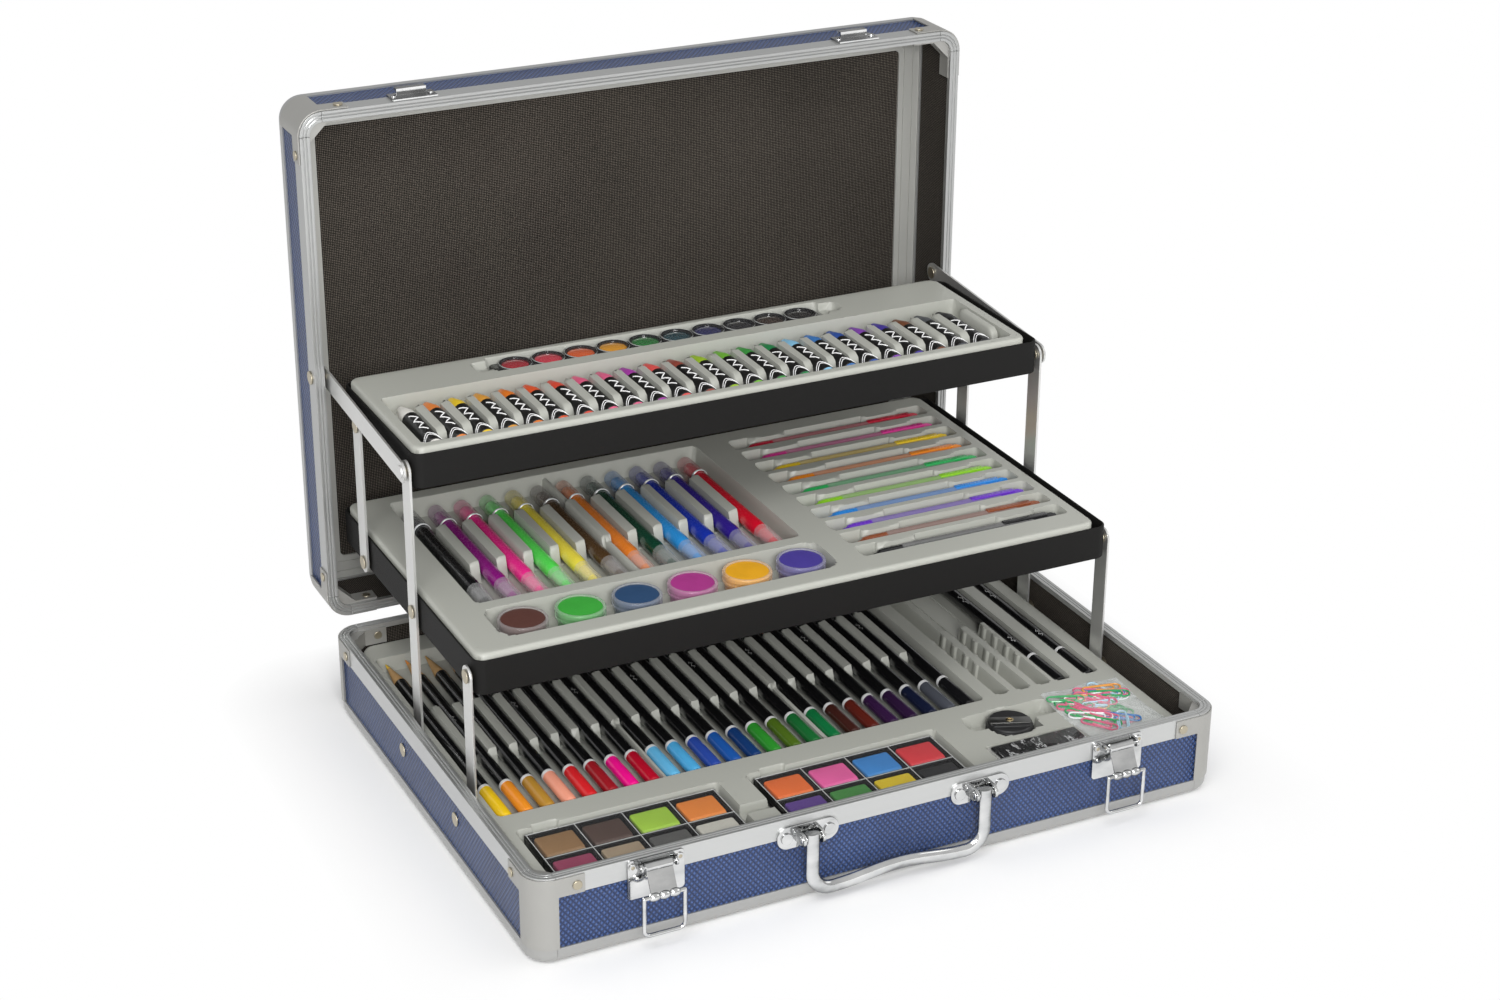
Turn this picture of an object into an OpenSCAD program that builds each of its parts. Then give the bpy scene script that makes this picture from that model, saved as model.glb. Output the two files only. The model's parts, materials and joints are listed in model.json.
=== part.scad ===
// Art supply box: an aluminium framed case with two lift-out trays on folding arms.
// Millimetres. Origin: centre of the underside. +X right, +Y to the hinge side, +Z up.
// The lid is drawn open at 90 degrees, with both trays raised.

/* [Case] */
// Width over the corner posts
case_w = 380; // [376:1:400]
// Depth over the corner posts
case_d = 282; // [280:1:300]
// Height of the base
base_h = 47; // [47:0.5:52]
// Height of the lid
lid_h = 38; // [38:0.5:44]
// Outer radius of the upright corners
corner_r = 13; // [12:0.5:16]
// Gap between the two rims when closed
part_gap = 0.3; // [0.3:0.1:0.8]

/* [Walls] */
// Thickness of the corner posts and rivet tabs
post_t = 0.8; // [0.6:0.1:1.2]
// Thickness of the rail skins
skin_t = 0.9; // [0.7:0.1:1.0]
// Thickness of the textured wall panels
panel_t = 3.0; // [2.6:0.1:3.2]
// Thickness of the lining
liner_t = 0.6; // [0.4:0.1:0.8]
// Height of the rim rail on the outside
rim_h = 10.6; // [9:0.2:12]
// Height of the edge trim
trim_h = 8.5; // [7:0.5:10]
// Edge radius of the edge trim
edge_r = 5; // [4:0.5:5]

/* [Folding arms] */
// Distance between the pins of one link
link_l = 77; // [77:0.5:80]
// Angle that the arms turn through
fold_angle = 74; // [72:0.5:74]
// Width of the arms
arm_w = 11; // [9:0.5:12]
// Thickness of the tray arms
arm_t = 1.2; // [1:0.1:1.3]
// Thickness of the lid arm
lid_arm_t = 1.1; // [0.9:0.1:1.2]
// Radius of the pivot pins
pin_r = 2; // [1.5:0.1:2.4]
// Running clearance on the radius of every moving bore
pin_fit = 0.05; // [0.03:0.01:0.08]
// Thickness of the rivet heads
head_t = 0.7; // [0.5:0.1:0.7]
// Side gap between moving pieces
side_gap = 0.3; // [0.3:0.05:0.35]
// Depth of the base pivots below the rim
pivot_drop = 20.5; // [19:0.5:21]
// Distance of the lower arm pivot from the middle of the case
pivot_y = 35; // [33:0.5:36]

/* [Trays] */
// Height of the tray walls
tray_h = 18.3; // [17:0.1:18.3]
// Thickness of the tray walls
tray_t = 1.2; // [1:0.1:1.6]
// Height of the insert above the tray walls
lip_h = 2.5; // [1.5:0.1:2.5]
// Depth of the floor of the base insert below the rim
bed_drop = 12.5; // [12:0.1:13]
// Front to back size of the middle tray
mid_d = 195; // [190:1:198]
// Front to back size of the top tray
top_d = 104.5; // [102:0.5:107]
// Thickness of the formed inserts
sheet_t = 1.0; // [0.8:0.1:1.2]

/* [Contents] */
// Radius of a colour pencil
pencil_r = 3.5; // [3.2:0.1:3.7]
// Length of a colour pencil
pencil_l = 175; // [170:1:176]
// Spacing of the colour pencils
pencil_pitch = 11.27; // [11:0.05:11.3]
// Radius of a felt pen
felt_r = 4.8; // [4.4:0.1:5]
// Radius of an oil pastel
pastel_r = 4.6; // [4.2:0.1:4.8]
// Radius of a paint pot
pot_r = 12.8; // [12:0.2:13.4]

/* [Handle and latches] */
// Distance between the handle legs
handle_w = 95; // [90:1:98]
// Length of the handle below its pivots
handle_l = 33; // [30:0.5:33]
// Distance of each latch from the middle
latch_x = 127; // [120:1:130]
// Radius of the latch wire
wire_r = 1.0; // [0.8:0.1:1.1]
// Radius of the hinge pin
hinge_pin_r = 1.2; // [1:0.1:1.4]

/* [Hidden] */
$fn = 48;
face_x = case_w/2 - post_t;
face_y = case_d/2 - post_t;
shell_r = corner_r - post_t;
bar_x = face_x - shell_r;
bar_y = face_y - shell_r;
n_panel = skin_t + panel_t;
n_liner = n_panel + liner_t;
n_wall = n_liner + skin_t;
in_x = face_x - n_wall;
in_y = face_y - n_wall;
inner_h = 3;
flange_t = 1;
floor_t = 4;
lid_panel_t = 1.8;
trim_r = min(edge_r, n_wall - 0.2);
seam = 0.1;
hinge_y = case_d/2 + 3;
hinge_z = base_h + part_gap/2;
lid_top = base_h + part_gap + lid_h;
// layers from the side wall inwards
x_wall = in_x;
lid_arm_x = x_wall - 0.5 - head_t - side_gap;
lid_arm_in = lid_arm_x - lid_arm_t;
head_x = lid_arm_in - side_gap;
arm_x = head_x - head_t - side_gap;
arm_in = arm_x - arm_t;
collar_x = arm_in - side_gap;
tray_x = collar_x - 0.8;
hole_r = pin_r + pin_fit;
// pivots
pivot_z = base_h - pivot_drop;
tray_drop = 8.5;
q_y = pivot_y;
q_z = pivot_z + link_l;
r_z = pivot_z + 2*link_l;
front_y = pivot_y - 75;
rear_y = pivot_y + 74;
rear_dz = -5;
lid_pin_z = r_z + 7.5;
fold_y = q_y - 2*link_l*sin(fold_angle);
fold_z = pivot_z + 2*link_l*cos(fold_angle);
// closed place of the lid pin is (lpc_y, lpc_z); its open height is fixed and its depth solved
// so that the lid arm has the same length at both ends of the travel
lpc_y = hinge_y - (lid_pin_z - hinge_z);
ka = hinge_z - hinge_y;
lid_pin_y = (pow(lpc_y - fold_y, 2) + pow(ka - fold_z, 2) - pow(q_y, 2)
  - pow(lid_pin_z - r_z, 2)) / (2*(-q_y - (ka - fold_z)));
lpc_z = hinge_z + (lid_pin_y - hinge_y);
lid_arm_l = sqrt(pow(lid_pin_y - q_y, 2) + pow(lid_pin_z - r_z, 2));
// trays
mid_y0 = pivot_y - 82;
mid_z = q_z - tray_drop;
mid_top = mid_z + tray_h + lip_h;
top_y0 = pivot_y - 6;
top_z = r_z - tray_drop;
top_top = top_z + tray_h + lip_h;
tray_r = 6;
// the inserts are narrower than the trays and stand to their left
ins_x0 = 2 - tray_x;
ins_x1 = tray_x - 7;
ins_w = ins_x1 - ins_x0;
ins_x = (ins_x0 + ins_x1)/2;
ins_in = 2.2;
// base insert
bed_z = base_h - bed_drop;
bed_top = bed_z + sheet_t;
bed_x = tray_x - 0.4;
bed_y = in_y - 0.4;
left = -bed_x;
right = bed_x;
front = -bed_y;
pencil_x0 = left + 8;
pencil_y0 = -front - 19.4 - pencil_l;
pencil_z = bed_top - pencil_r + 0.3;
// handle and latch
handle_y = -face_y - 5.2;
handle_z = base_h - 10;
handle_pin_r = 1.8;
latch_py = -face_y - 3.9;
latch_pz = base_h - 4;
latch_pin_r = 1.1;
roll_r = 2.1;
lever_w = 16;
roll_y = latch_py - 6.4;
roll_z = latch_pz - 12.6;
bail_z = 10;

// ---------- shapes ----------
module rounded(w, d, r) {
  square([w - 2*r, d], center = true);
  square([w, d - 2*r], center = true);
  for (sx = [-1, 1]) for (sy = [-1, 1])
    translate([sx*(w/2 - r), sy*(d/2 - r)]) circle(r);
}
module rbox(w, d, h, r) {
  linear_extrude(h) rounded(w, d, r);
}
// children: a profile with x = distance inwards from the shell face, y = height
module ring_bars(gap) {
  for (m = [0, 1]) mirror([0, m, 0]) rotate([90, 0, 90])
    linear_extrude(2*(bar_x - gap), center = true) translate([-face_y, 0]) children();
  for (m = [0, 1]) mirror([m, 0, 0]) rotate([90, 0, 0])
    linear_extrude(2*(bar_y - gap), center = true) translate([-face_x, 0]) children();
}
module ring_corners() {
  for (k = [0:3])
    translate([(k == 0 || k == 3 ? 1 : -1)*bar_x, (k < 2 ? 1 : -1)*bar_y, 0]) rotate(90*k)
      rotate_extrude(angle = 90) translate([shell_r, 0]) mirror([1, 0]) children();
}
module at_corners() {
  for (sx = [0, 1]) for (sy = [0, 1]) mirror([sx, 0, 0]) mirror([0, sy, 0]) children();
}
module both_sides() {
  for (m = [0, 1]) mirror([m, 0, 0]) children();
}
// a cylinder along X from x0 to x1
module xcyl(r, x0, x1, y, z) {
  translate([x0, y, z]) rotate([0, 90, 0]) cylinder(h = x1 - x0, r = r);
}
module ycyl(r, y0, y1, x, z) {
  translate([x, y0, z]) rotate([-90, 0, 0]) cylinder(h = y1 - y0, r = r);
}
module lid_place() {
  translate([0, hinge_y, hinge_z]) rotate([-90, 0, 0])
    translate([0, -hinge_y, lid_top - hinge_z]) mirror([0, 0, 1]) children();
}
// ---------- profiles of the case frame, for a shell of height h ----------
module rim_profile(h) {
  difference() {
    union() {
      translate([0, h - rim_h]) square([skin_t, rim_h]);
      translate([0, h - 2]) square([n_wall, 2]);
      translate([n_liner, h - inner_h]) square([skin_t, inner_h]);
    }
    for (n = [0.3, 0.6]) translate([n*n_wall, h - 0.5]) square([0.5, 1]);
  }
}
module trim_profile() {
  intersection() {
    translate([trim_r, trim_r]) circle(trim_r);
    square(trim_r);
  }
  translate([trim_r, 0]) square([n_wall - trim_r, trim_r]);
  translate([0, trim_r]) square([skin_t, trim_h - trim_r]);
  translate([n_wall, 0]) square([shell_r - n_wall - 0.3, flange_t]);
}
module panel_profile(h) {
  translate([skin_t, trim_r]) square([panel_t, h - 2 - trim_r]);
}
module liner_profile(h) {
  translate([n_panel, trim_r]) square([liner_t, h - 2 - trim_r]);
}
module post_profile(h) {
  translate([-post_t, trim_h]) square([post_t, h - trim_h - 0.8]);
  translate([0, trim_h]) square([n_liner, h - rim_h - trim_h]);
  translate([skin_t, h - rim_h]) square([n_liner - skin_t, rim_h - 2]);
}
module shell_posts(h) {
  ring_corners() post_profile(h);
  at_corners() {
    translate([bar_x - 1.2, face_y, trim_h]) cube([1.2, post_t, h - trim_h - 0.8]);
    translate([bar_x - 14.4, face_y, h - rim_h]) cube([14.4, post_t, rim_h - 0.8]);
    translate([face_x, bar_y - 1.2, trim_h]) cube([post_t, 1.2, h - trim_h - 0.8]);
    translate([face_x, bar_y - 14.4, h - rim_h]) cube([post_t, 14.4, rim_h - 0.8]);
  }
}
// a corner block with a leg along each wall; the side leg stays clear of the lid arm
module shell_gussets(t) {
  at_corners() {
    linear_extrude(t) intersection() {
      rounded(2*in_x, 2*in_y, shell_r - n_wall);
      polygon([[in_x - 11, in_y], [in_x, in_y - 11], [in_x, in_y]]);
    }
    translate([in_x - 22, in_y - 1.2, 0]) cube([12, 1.2, t]);
    translate([in_x - 0.5, in_y - 22, 0]) cube([0.5, 12, t]);
  }
}
module shell_rivets(h) {
  at_corners() {
    ycyl(2.4, case_d/2, case_d/2 + 0.8, bar_x - 10.4, h - rim_h/2 - 0.6);
    xcyl(2.4, case_w/2, case_w/2 + 0.8, bar_y - 10.4, h - rim_h/2 - 0.6);
    ycyl(2.2, in_y - 1.8, in_y - 1.2, bar_x - 10.4, h - rim_h/2 - 0.6);
  }
}

// ---------- base ----------
// a flat panel whose rebated edge lies on the flange of the edge trim
module flush_panel(t) {
  translate([0, 0, flange_t])
    rbox(2*in_x - 0.2, 2*in_y - 0.2, t - flange_t, shell_r - n_wall);
  rbox(2*bar_x, 2*bar_y, flange_t, 1);
}
module base_floor() {
  color("royalblue") flush_panel(floor_t);
}
module base_wall_panels() {
  color("royalblue") ring_bars(0) panel_profile(base_h);
}
module base_rim_rails() {
  color("silver") {
    ring_bars(seam) rim_profile(base_h);
    ring_corners() rim_profile(base_h);
  }
}
module base_bottom_trim() {
  color("silver") {
    ring_bars(seam) trim_profile();
    ring_corners() trim_profile();
  }
}
module base_corner_posts() {
  color("lightgray") shell_posts(base_h);
}
module base_corner_gussets() {
  color("gray") translate([0, 0, bed_top + 0.5]) shell_gussets(base_h - 2.5 - bed_top);
}
module base_liner() {
  color("black") ring_bars(0) liner_profile(base_h);
}
module base_rivets() {
  color("gainsboro") shell_rivets(base_h);
}
module pivot_rivets() {
  color("gainsboro") both_sides() for (y = [pivot_y, front_y]) {
    xcyl(3.6, face_x - skin_t, face_x - 0.1, y, pivot_z);
    xcyl(4, arm_x + side_gap, face_x - n_liner, y, pivot_z);
    xcyl(pin_r, collar_x, arm_x + side_gap, y, pivot_z);
    xcyl(3.4, collar_x - head_t, collar_x, y, pivot_z);
  }
}
module hinge_base_leaf() {
  difference() {
    union() {
      for (k = [0, 2, 4]) {
        xcyl(2.4, 8*k - 19.85, 8*k - 12.15, hinge_y, hinge_z);
        translate([8*k - 19.85, face_y, hinge_z - 2.4]) cube([7.7, hinge_y - face_y, 1.2]);
      }
      translate([-20, face_y, base_h - 13]) cube([40, 1, 11.8]);
    }
    xcyl(hinge_pin_r + pin_fit, -21, 21, hinge_y, hinge_z);
  }
}
module hinge_lid_leaf() {
  // drawn in the closed place, then turned up with the lid
  translate([0, hinge_y, hinge_z]) rotate([-90, 0, 0]) translate([0, -hinge_y, -hinge_z])
    difference() {
      union() {
        for (k = [1, 3]) {
          xcyl(2.4, 8*k - 19.85, 8*k - 12.15, hinge_y, hinge_z);
          translate([8*k - 19.85, face_y, hinge_z + 1.2]) cube([7.7, hinge_y - face_y, 1.2]);
        }
        translate([-20, face_y, base_h + part_gap + 1.05]) cube([40, 1, 11.8]);
      }
      xcyl(hinge_pin_r + pin_fit, -21, 21, hinge_y, hinge_z);
    }
}
module hinge_base_leaves() {
  color("silver") for (x = [-110, 110]) translate([x, 0, 0]) hinge_base_leaf();
}
module hinge_pins() {
  color("gainsboro") for (x = [-110, 110]) translate([x, 0, 0]) {
    xcyl(hinge_pin_r, -20, 20, hinge_y, hinge_z);
    xcyl(1.9, -20.45, -19.85, hinge_y, hinge_z);
    xcyl(1.9, 19.85, 20.45, hinge_y, hinge_z);
  }
}
module handle_brackets() {
  color("gainsboro") for (x = [-handle_w/2, handle_w/2]) translate([x, 0, 0]) {
    difference() {
      union() {
        translate([0, -face_y, handle_z]) rotate([90, 0, 0]) linear_extrude(1.2)
          rounded(33, 12, 5.9);
        for (s = [-1, 1]) {
          translate([s*5.2 - 0.8, handle_y, handle_z - 3.5])
            cube([1.6, -face_y - 1.2 - handle_y, 7]);
          xcyl(3.5, s*5.2 - 0.8, s*5.2 + 0.8, handle_y, handle_z);
        }
      }
      xcyl(handle_pin_r + pin_fit, -8, 8, handle_y, handle_z);
    }
    for (s = [-1, 1]) ycyl(3, -face_y - 2.1, -face_y - 1.2, s*11.5, handle_z);
  }
}
module latch_plates() {
  color("gainsboro") for (x = [-latch_x, latch_x]) translate([x, 0, 0]) {
    difference() {
      union() {
        translate([0, -face_y, base_h - 11]) rotate([90, 0, 0]) linear_extrude(1.2)
          rounded(29, 21, 2);
        for (s = [-1, 1]) {
          translate([s*9 - 0.6, latch_py, latch_pz - 2.2])
            cube([1.2, -face_y - 1.2 - latch_py, 4.4]);
          xcyl(2.2, s*9 - 0.6, s*9 + 0.6, latch_py, latch_pz);
        }
      }
      xcyl(latch_pin_r + pin_fit, -11, 11, latch_py, latch_pz);
    }
    for (s = [-1, 1]) ycyl(1.9, -face_y - 1.9, -face_y - 1.2, s*12.1, latch_pz);
  }
}
module latch_lever(x) {
  reach = sqrt(pow(roll_y - latch_py, 2) + pow(roll_z - latch_pz, 2));
  slope = atan2(roll_z - latch_pz, roll_y - latch_py);
  translate([x, 0, 0]) {
    rotate([90, 0, 90]) linear_extrude(lever_w, center = true) difference() {
      union() {
        translate([latch_py, latch_pz]) circle(roll_r);
        translate([roll_y, roll_z]) circle(roll_r);
        translate([latch_py, latch_pz]) rotate(slope) translate([0, -0.6])
          square([reach - 1.5, 1.2]);
      }
      translate([roll_y, roll_z]) circle(wire_r + pin_fit);
    }
    xcyl(latch_pin_r, -9.9, 9.9, latch_py, latch_pz);
  }
}
module latch_bail(x) {
  translate([x, 0, 0]) {
    xcyl(wire_r, -10.4, 10.4, roll_y, roll_z);
    xcyl(wire_r, -7.4, 7.4, roll_y, bail_z);
    for (s = [-1, 1]) {
      translate([s*10.4, roll_y, bail_z + 3]) cylinder(h = roll_z - bail_z - 3, r = wire_r);
      translate([s*10.4, roll_y, roll_z]) sphere(wire_r);
    }
    for (s = [0, 1]) mirror([s, 0, 0]) translate([7.4, roll_y, bail_z + 3]) rotate([90, 0, 0])
      rotate_extrude(angle = -90) translate([3, 0]) circle(wire_r);
  }
}
module latch_lever_left() { color("silver") latch_lever(-latch_x); }
module latch_lever_right() { color("silver") latch_lever(latch_x); }
module latch_bail_left() { color("lightgray") latch_bail(-latch_x); }
module latch_bail_right() { color("lightgray") latch_bail(latch_x); }
module handle() {
  w = handle_w + 7.2;
  color("silver") {
    translate([0, handle_y + 1.4, handle_z]) rotate([90, 0, 0]) linear_extrude(4.6)
      difference() {
        union() {
          translate([0, 3 - (handle_l - 10)/2]) square([w, handle_l - 10], center = true);
          translate([0, 13 - handle_l]) rounded(w, 26, 12.9);
        }
        translate([0, 4 - (handle_l - 16)/2]) square([w - 14.4, handle_l - 14], center = true);
        translate([0, 14 - handle_l]) rounded(w - 14.4, 14.4, 7.1);
      }
    for (s = [-1, 1]) xcyl(handle_pin_r, s*handle_w/2 - 6.3, s*handle_w/2 + 6.3,
      handle_y, handle_z);
  }
}

// ---------- base contents ----------
module cup(x0, x1, y0, y1, top, depth, r) {
  translate([(x0 + x1)/2, (y0 + y1)/2, top - depth])
    rbox(x1 - x0, y1 - y0, depth + 1, r);
}
// outer skin of the same pocket
module cup_skin(x0, x1, y0, y1, top, depth, r) {
  translate([(x0 + x1)/2, (y0 + y1)/2, top - depth - 0.8])
    rbox(x1 - x0 + 1.6, y1 - y0 + 1.6, depth + 0.8 - sheet_t/2, r + 0.8);
}
module pocket(p, top) {
  cup(p[0], p[1], p[2], p[3], top, p[4], p[5]);
}
module pocket_skin(p, top) {
  cup_skin(p[0], p[1], p[2], p[3], top, p[4], p[5]);
}
sharpener_at = [right - 79.7, (front + pencil_y0)/2 + 10.7];
eraser_at = [right - 78.2, (front + sharpener_at[1])/2 - 2.5];
// the palettes share the room between the left wall and the sharpener
pal_gap = 15.2;
pal_w = (sharpener_at[0] - left - 45.5 - pal_gap)/2 - 6;
pal_d = pencil_y0 - front - 26.4;
pal_x = [left + 8.5 + pal_w/2, left + 14.5 + pal_gap + 1.5*pal_w];
pal_y = front + 6.4 + pal_d/2;
cell_w = (pal_w - 1.8)/4;
cell_d = (pal_d - 2)/2;
bag_y0 = front + 8.4;
bag_y1 = pencil_y0 - 10;
slot_x = [right - 67.7, right - 54.8, right - 42.2, right - 30.7, right - 13.2];
slot_y0 = pencil_y0;
slot_y1 = pencil_y0 + pencil_l + 5;
pencil_n = floor((slot_x[0] - 10 - pencil_x0)/pencil_pitch) + 1;
bed_ribs = [for (k = [0:pencil_n - 2]) pencil_x0 + (k + 0.5)*pencil_pitch];
// x0, x1, y0, y1, depth, corner radius
pencil_pocket = [left + 3.2, pencil_x0 + (pencil_n - 1)*pencil_pitch + 7, pencil_y0 - 1,
  pencil_y0 + pencil_l + 2, 8.2, 3];
base_pockets = [
  for (x = pal_x) [x - pal_w/2 - 3, x + pal_w/2 + 3, pal_y - pal_d/2 - 2, pal_y + pal_d/2 + 3, 7.6, 3],
  [sharpener_at[0] - 14, sharpener_at[0] + 14, sharpener_at[1] - 14, sharpener_at[1] + 14, 9, 13.9],
  [sharpener_at[0] - 23, sharpener_at[0] + 31, sharpener_at[1] - 2, sharpener_at[1] + 13, 7, 7.4],
  [eraser_at[0] - 27, eraser_at[0] + 27, eraser_at[1] - 8.5, eraser_at[1] + 8.5, 8, 3]];
module base_insert() {
  color("silver") difference() {
    union() {
      difference() {
        translate([0, 0, 4]) rbox(2*bed_x, 2*bed_y, bed_top - 4, 8);
        translate([0, 0, 3]) rbox(2*bed_x - 1.6, 2*bed_y - 1.6, bed_z - 3, 7.2);
      }
      for (p = concat([pencil_pocket], base_pockets)) pocket_skin(p, bed_top);
      for (x = slot_x) cup_skin(x - 4.6, x + 4.6, slot_y0, slot_y1, bed_top, 8, 3);
    }
    difference() {
      pocket(pencil_pocket, bed_top);
      for (k = [0:pencil_n - 2]) translate([bed_ribs[k], pencil_y0 + pencil_l/2, bed_top - 9])
        rbox(3.6, k == 7 || k == 15 ? pencil_l + 15 : 53, 9, 1.7);
    }
    for (p = base_pockets) pocket(p, bed_top);
    for (x = slot_x) cup(x - 4.6, x + 4.6, slot_y0, slot_y1, bed_top, 8, 3);
  }
}
module pencil(x, y0, len) {
  translate([x, y0, pencil_z]) rotate([-90, 0, 0]) {
    cylinder(h = len - 22, r = pencil_r);
    translate([0, 0, len - 22]) cylinder(h = 22, r1 = pencil_r, r2 = 0.6);
  }
}
module colour_pencils() {
  color("dimgray") for (k = [0:pencil_n - 1]) pencil(pencil_x0 + k*pencil_pitch, pencil_y0, pencil_l);
}
module sketch_pencils() {
  color("dimgray") for (k = [3, 4]) pencil(slot_x[k], slot_y0 + 1.5, pencil_l);
}
module palette_frames() {
  color("black") for (x = pal_x) translate([x, pal_y, bed_top - 7.6]) difference() {
    rbox(pal_w, pal_d, 6.6, 1.5);
    for (i = [0:3]) for (j = [0, 1])
      translate([(i - 1.5)*cell_w, (j - 0.5)*cell_d, 1]) rbox(cell_w - 2.2, cell_d - 2.2, 7, 1);
  }
}
module palette_cakes() {
  color("orange") for (x = pal_x) for (i = [0:3]) for (j = [0, 1])
    translate([x + (i - 1.5)*cell_w, pal_y + (j - 0.5)*cell_d, bed_top - 6.6])
      rbox(cell_w - 4.3, cell_d - 4.5, 4, 1.5);
}
module sharpener() {
  color("dimgray") difference() {
    translate([sharpener_at[0], sharpener_at[1], bed_top - 9]) cylinder(h = 9.6, r = 12);
    translate([sharpener_at[0] - 9.5, sharpener_at[1] - 1, bed_top - 1.6]) cube([19, 9, 3]);
  }
}
module eraser() {
  color("dimgray") translate([eraser_at[0], eraser_at[1], bed_top - 8]) rbox(50, 14, 8.4, 1);
}
module clip_bag() {
  color("white") translate([right - 29.2, (bag_y0 + bag_y1)/2, bed_top])
    rbox(46, bag_y1 - bag_y0, 2.4, 3);
}

// ---------- lid ----------
module lid_panel() {
  color("royalblue") lid_place() flush_panel(lid_panel_t);
}
module lid_wall_panels() {
  color("royalblue") lid_place() ring_bars(0) panel_profile(lid_h);
}
module lid_rim_rails() {
  color("silver") lid_place() {
    ring_bars(seam) rim_profile(lid_h);
    ring_corners() rim_profile(lid_h);
  }
}
module lid_edge_trim() {
  color("silver") lid_place() {
    ring_bars(seam) trim_profile();
    ring_corners() trim_profile();
  }
}
module lid_corner_posts() {
  color("lightgray") lid_place() shell_posts(lid_h);
}
module lid_corner_gussets() {
  color("gray") lid_place() translate([0, 0, lid_h - 11]) shell_gussets(9);
}
module lid_liner() {
  color("black") lid_place() {
    ring_bars(0) liner_profile(lid_h);
    translate([0, 0, lid_panel_t]) rbox(2*in_x - 0.2, 2*in_y - 0.2, 0.5, shell_r - n_wall);
  }
}
module lid_edge_rail() {
  color("silver") lid_place() translate([0, 0, lid_panel_t + 0.5]) difference() {
    rbox(2*in_x - 0.2, 2*in_y - 0.2, 1.2, shell_r - n_wall);
    translate([0, 0, -1]) rbox(2*in_x - 26, 2*in_y - 26, 3, 3);
    for (e = [8, 19]) translate([0, 0, 0.6]) difference() {
      rbox(2*in_x - e, 2*in_y - e, 1, 4);
      translate([0, 0, -1]) rbox(2*in_x - e - 1.6, 2*in_y - e - 1.6, 3, 3.2);
    }
  }
}
module lid_rivets() {
  color("gainsboro") lid_place() shell_rivets(lid_h);
}
module lid_pins() {
  color("gainsboro") both_sides() {
    xcyl(3.6, face_x, face_x + 0.8, lid_pin_y, lid_pin_z);
    xcyl(4, lid_arm_x + side_gap, x_wall, lid_pin_y, lid_pin_z);
    xcyl(3, x_wall, face_x - n_liner, lid_pin_y, lid_pin_z);
    xcyl(pin_r, lid_arm_in - side_gap, lid_arm_x + side_gap, lid_pin_y, lid_pin_z);
    xcyl(3.4, lid_arm_in - side_gap - head_t, lid_arm_in - side_gap, lid_pin_y, lid_pin_z);
  }
}
module lid_strikers() {
  color("gainsboro") lid_place() for (x = [-latch_x, latch_x]) translate([x, -face_y, 0]) {
    translate([-12, -1, lid_h - 12]) cube([24, 1, 11]);
    translate([-8, -4.4, lid_h - 9]) cube([16, 3.4, 1.2]);
    translate([-8, -4.4, lid_h - 12]) cube([16, 1.2, 3]);
    for (s = [-1, 1]) ycyl(1.7, -1.7, -1, s*10, lid_h - 6.5);
  }
}
module hinge_lid_leaves() {
  color("silver") for (x = [-110, 110]) translate([x, 0, 0]) hinge_lid_leaf();
}

// ---------- arms ----------
// a flat strip through the listed points (y, z) with a hole at each
module strip(x0, x1, pts, w) {
  a = pts[0];
  b = pts[len(pts) - 1];
  len_ab = sqrt(pow(b[0] - a[0], 2) + pow(b[1] - a[1], 2));
  translate([x0, a[0], a[1]]) rotate([atan2(b[1] - a[1], b[0] - a[0]), 0, 0])
    difference() {
      union() {
        translate([0, 0, -w/2]) cube([x1 - x0, len_ab, w]);
        xcyl(w/2, 0, x1 - x0, 0, 0);
        xcyl(w/2, 0, x1 - x0, len_ab, 0);
      }
      for (p = pts) xcyl(hole_r, -1, x1 - x0 + 1,
        sqrt(pow(p[0] - a[0], 2) + pow(p[1] - a[1], 2)), 0);
    }
}
module long_arms() {
  color("lightgray") both_sides()
    strip(arm_in, arm_x, [[pivot_y, pivot_z], [q_y, q_z], [q_y, r_z]], arm_w);
}
module front_arms() {
  color("lightgray") both_sides()
    strip(arm_in, arm_x, [[front_y, pivot_z], [front_y, q_z]], arm_w);
}
module rear_arms() {
  color("lightgray") both_sides()
    strip(arm_in, arm_x, [[rear_y, q_z + rear_dz], [rear_y, r_z + rear_dz]], arm_w);
}
module lid_arms() {
  color("lightgray") both_sides() {
    strip(lid_arm_in, lid_arm_x, [[lid_pin_y, lid_pin_z], [q_y, r_z]], arm_w);
    xcyl(3.4, lid_arm_x, lid_arm_x + head_t, q_y, r_z);
  }
}

// ---------- trays ----------
module tray_box(y0, d, z0) {
  translate([0, y0 + d/2, z0]) difference() {
    rbox(2*tray_x, d, tray_h, tray_r);
    translate([0, 0, tray_t])
      rbox(2*tray_x - 2*tray_t, d - 2*tray_t, tray_h, tray_r - tray_t);
  }
}
// the shell of a formed insert, open below and standing on the floor of its tray
module insert_shell(y0, d, z0, top) {
  translate([ins_x, y0 + d/2, 0]) difference() {
    translate([0, 0, z0 + tray_t])
      rbox(ins_w, d - 2*ins_in, top - z0 - tray_t, tray_r - 1);
    translate([0, 0, z0])
      rbox(ins_w - 1.8, d - 2*ins_in - 1.8, top - z0 - sheet_t, tray_r - 1.9);
  }
}
module tray_pin(y, z) {
  both_sides() {
    xcyl(3, tray_x, collar_x, y, z);
    xcyl(pin_r, tray_x, head_x, y, z);
    xcyl(3.6, head_x - head_t, head_x, y, z);
  }
}
module middle_tray_box() {
  color("dimgray") tray_box(mid_y0, mid_d, mid_z);
}
felt_x0 = 30 - tray_x;
felt_pitch = 14.6;
felt_y0 = mid_y0 + 56;
gel_x0 = tray_x - 135.6;
gel_y0 = mid_y0 + 24.5;
gel_pitch = (mid_d - 45.6)/9;
felt_n = floor((gel_x0 - 8 - felt_x0)/felt_pitch);
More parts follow.
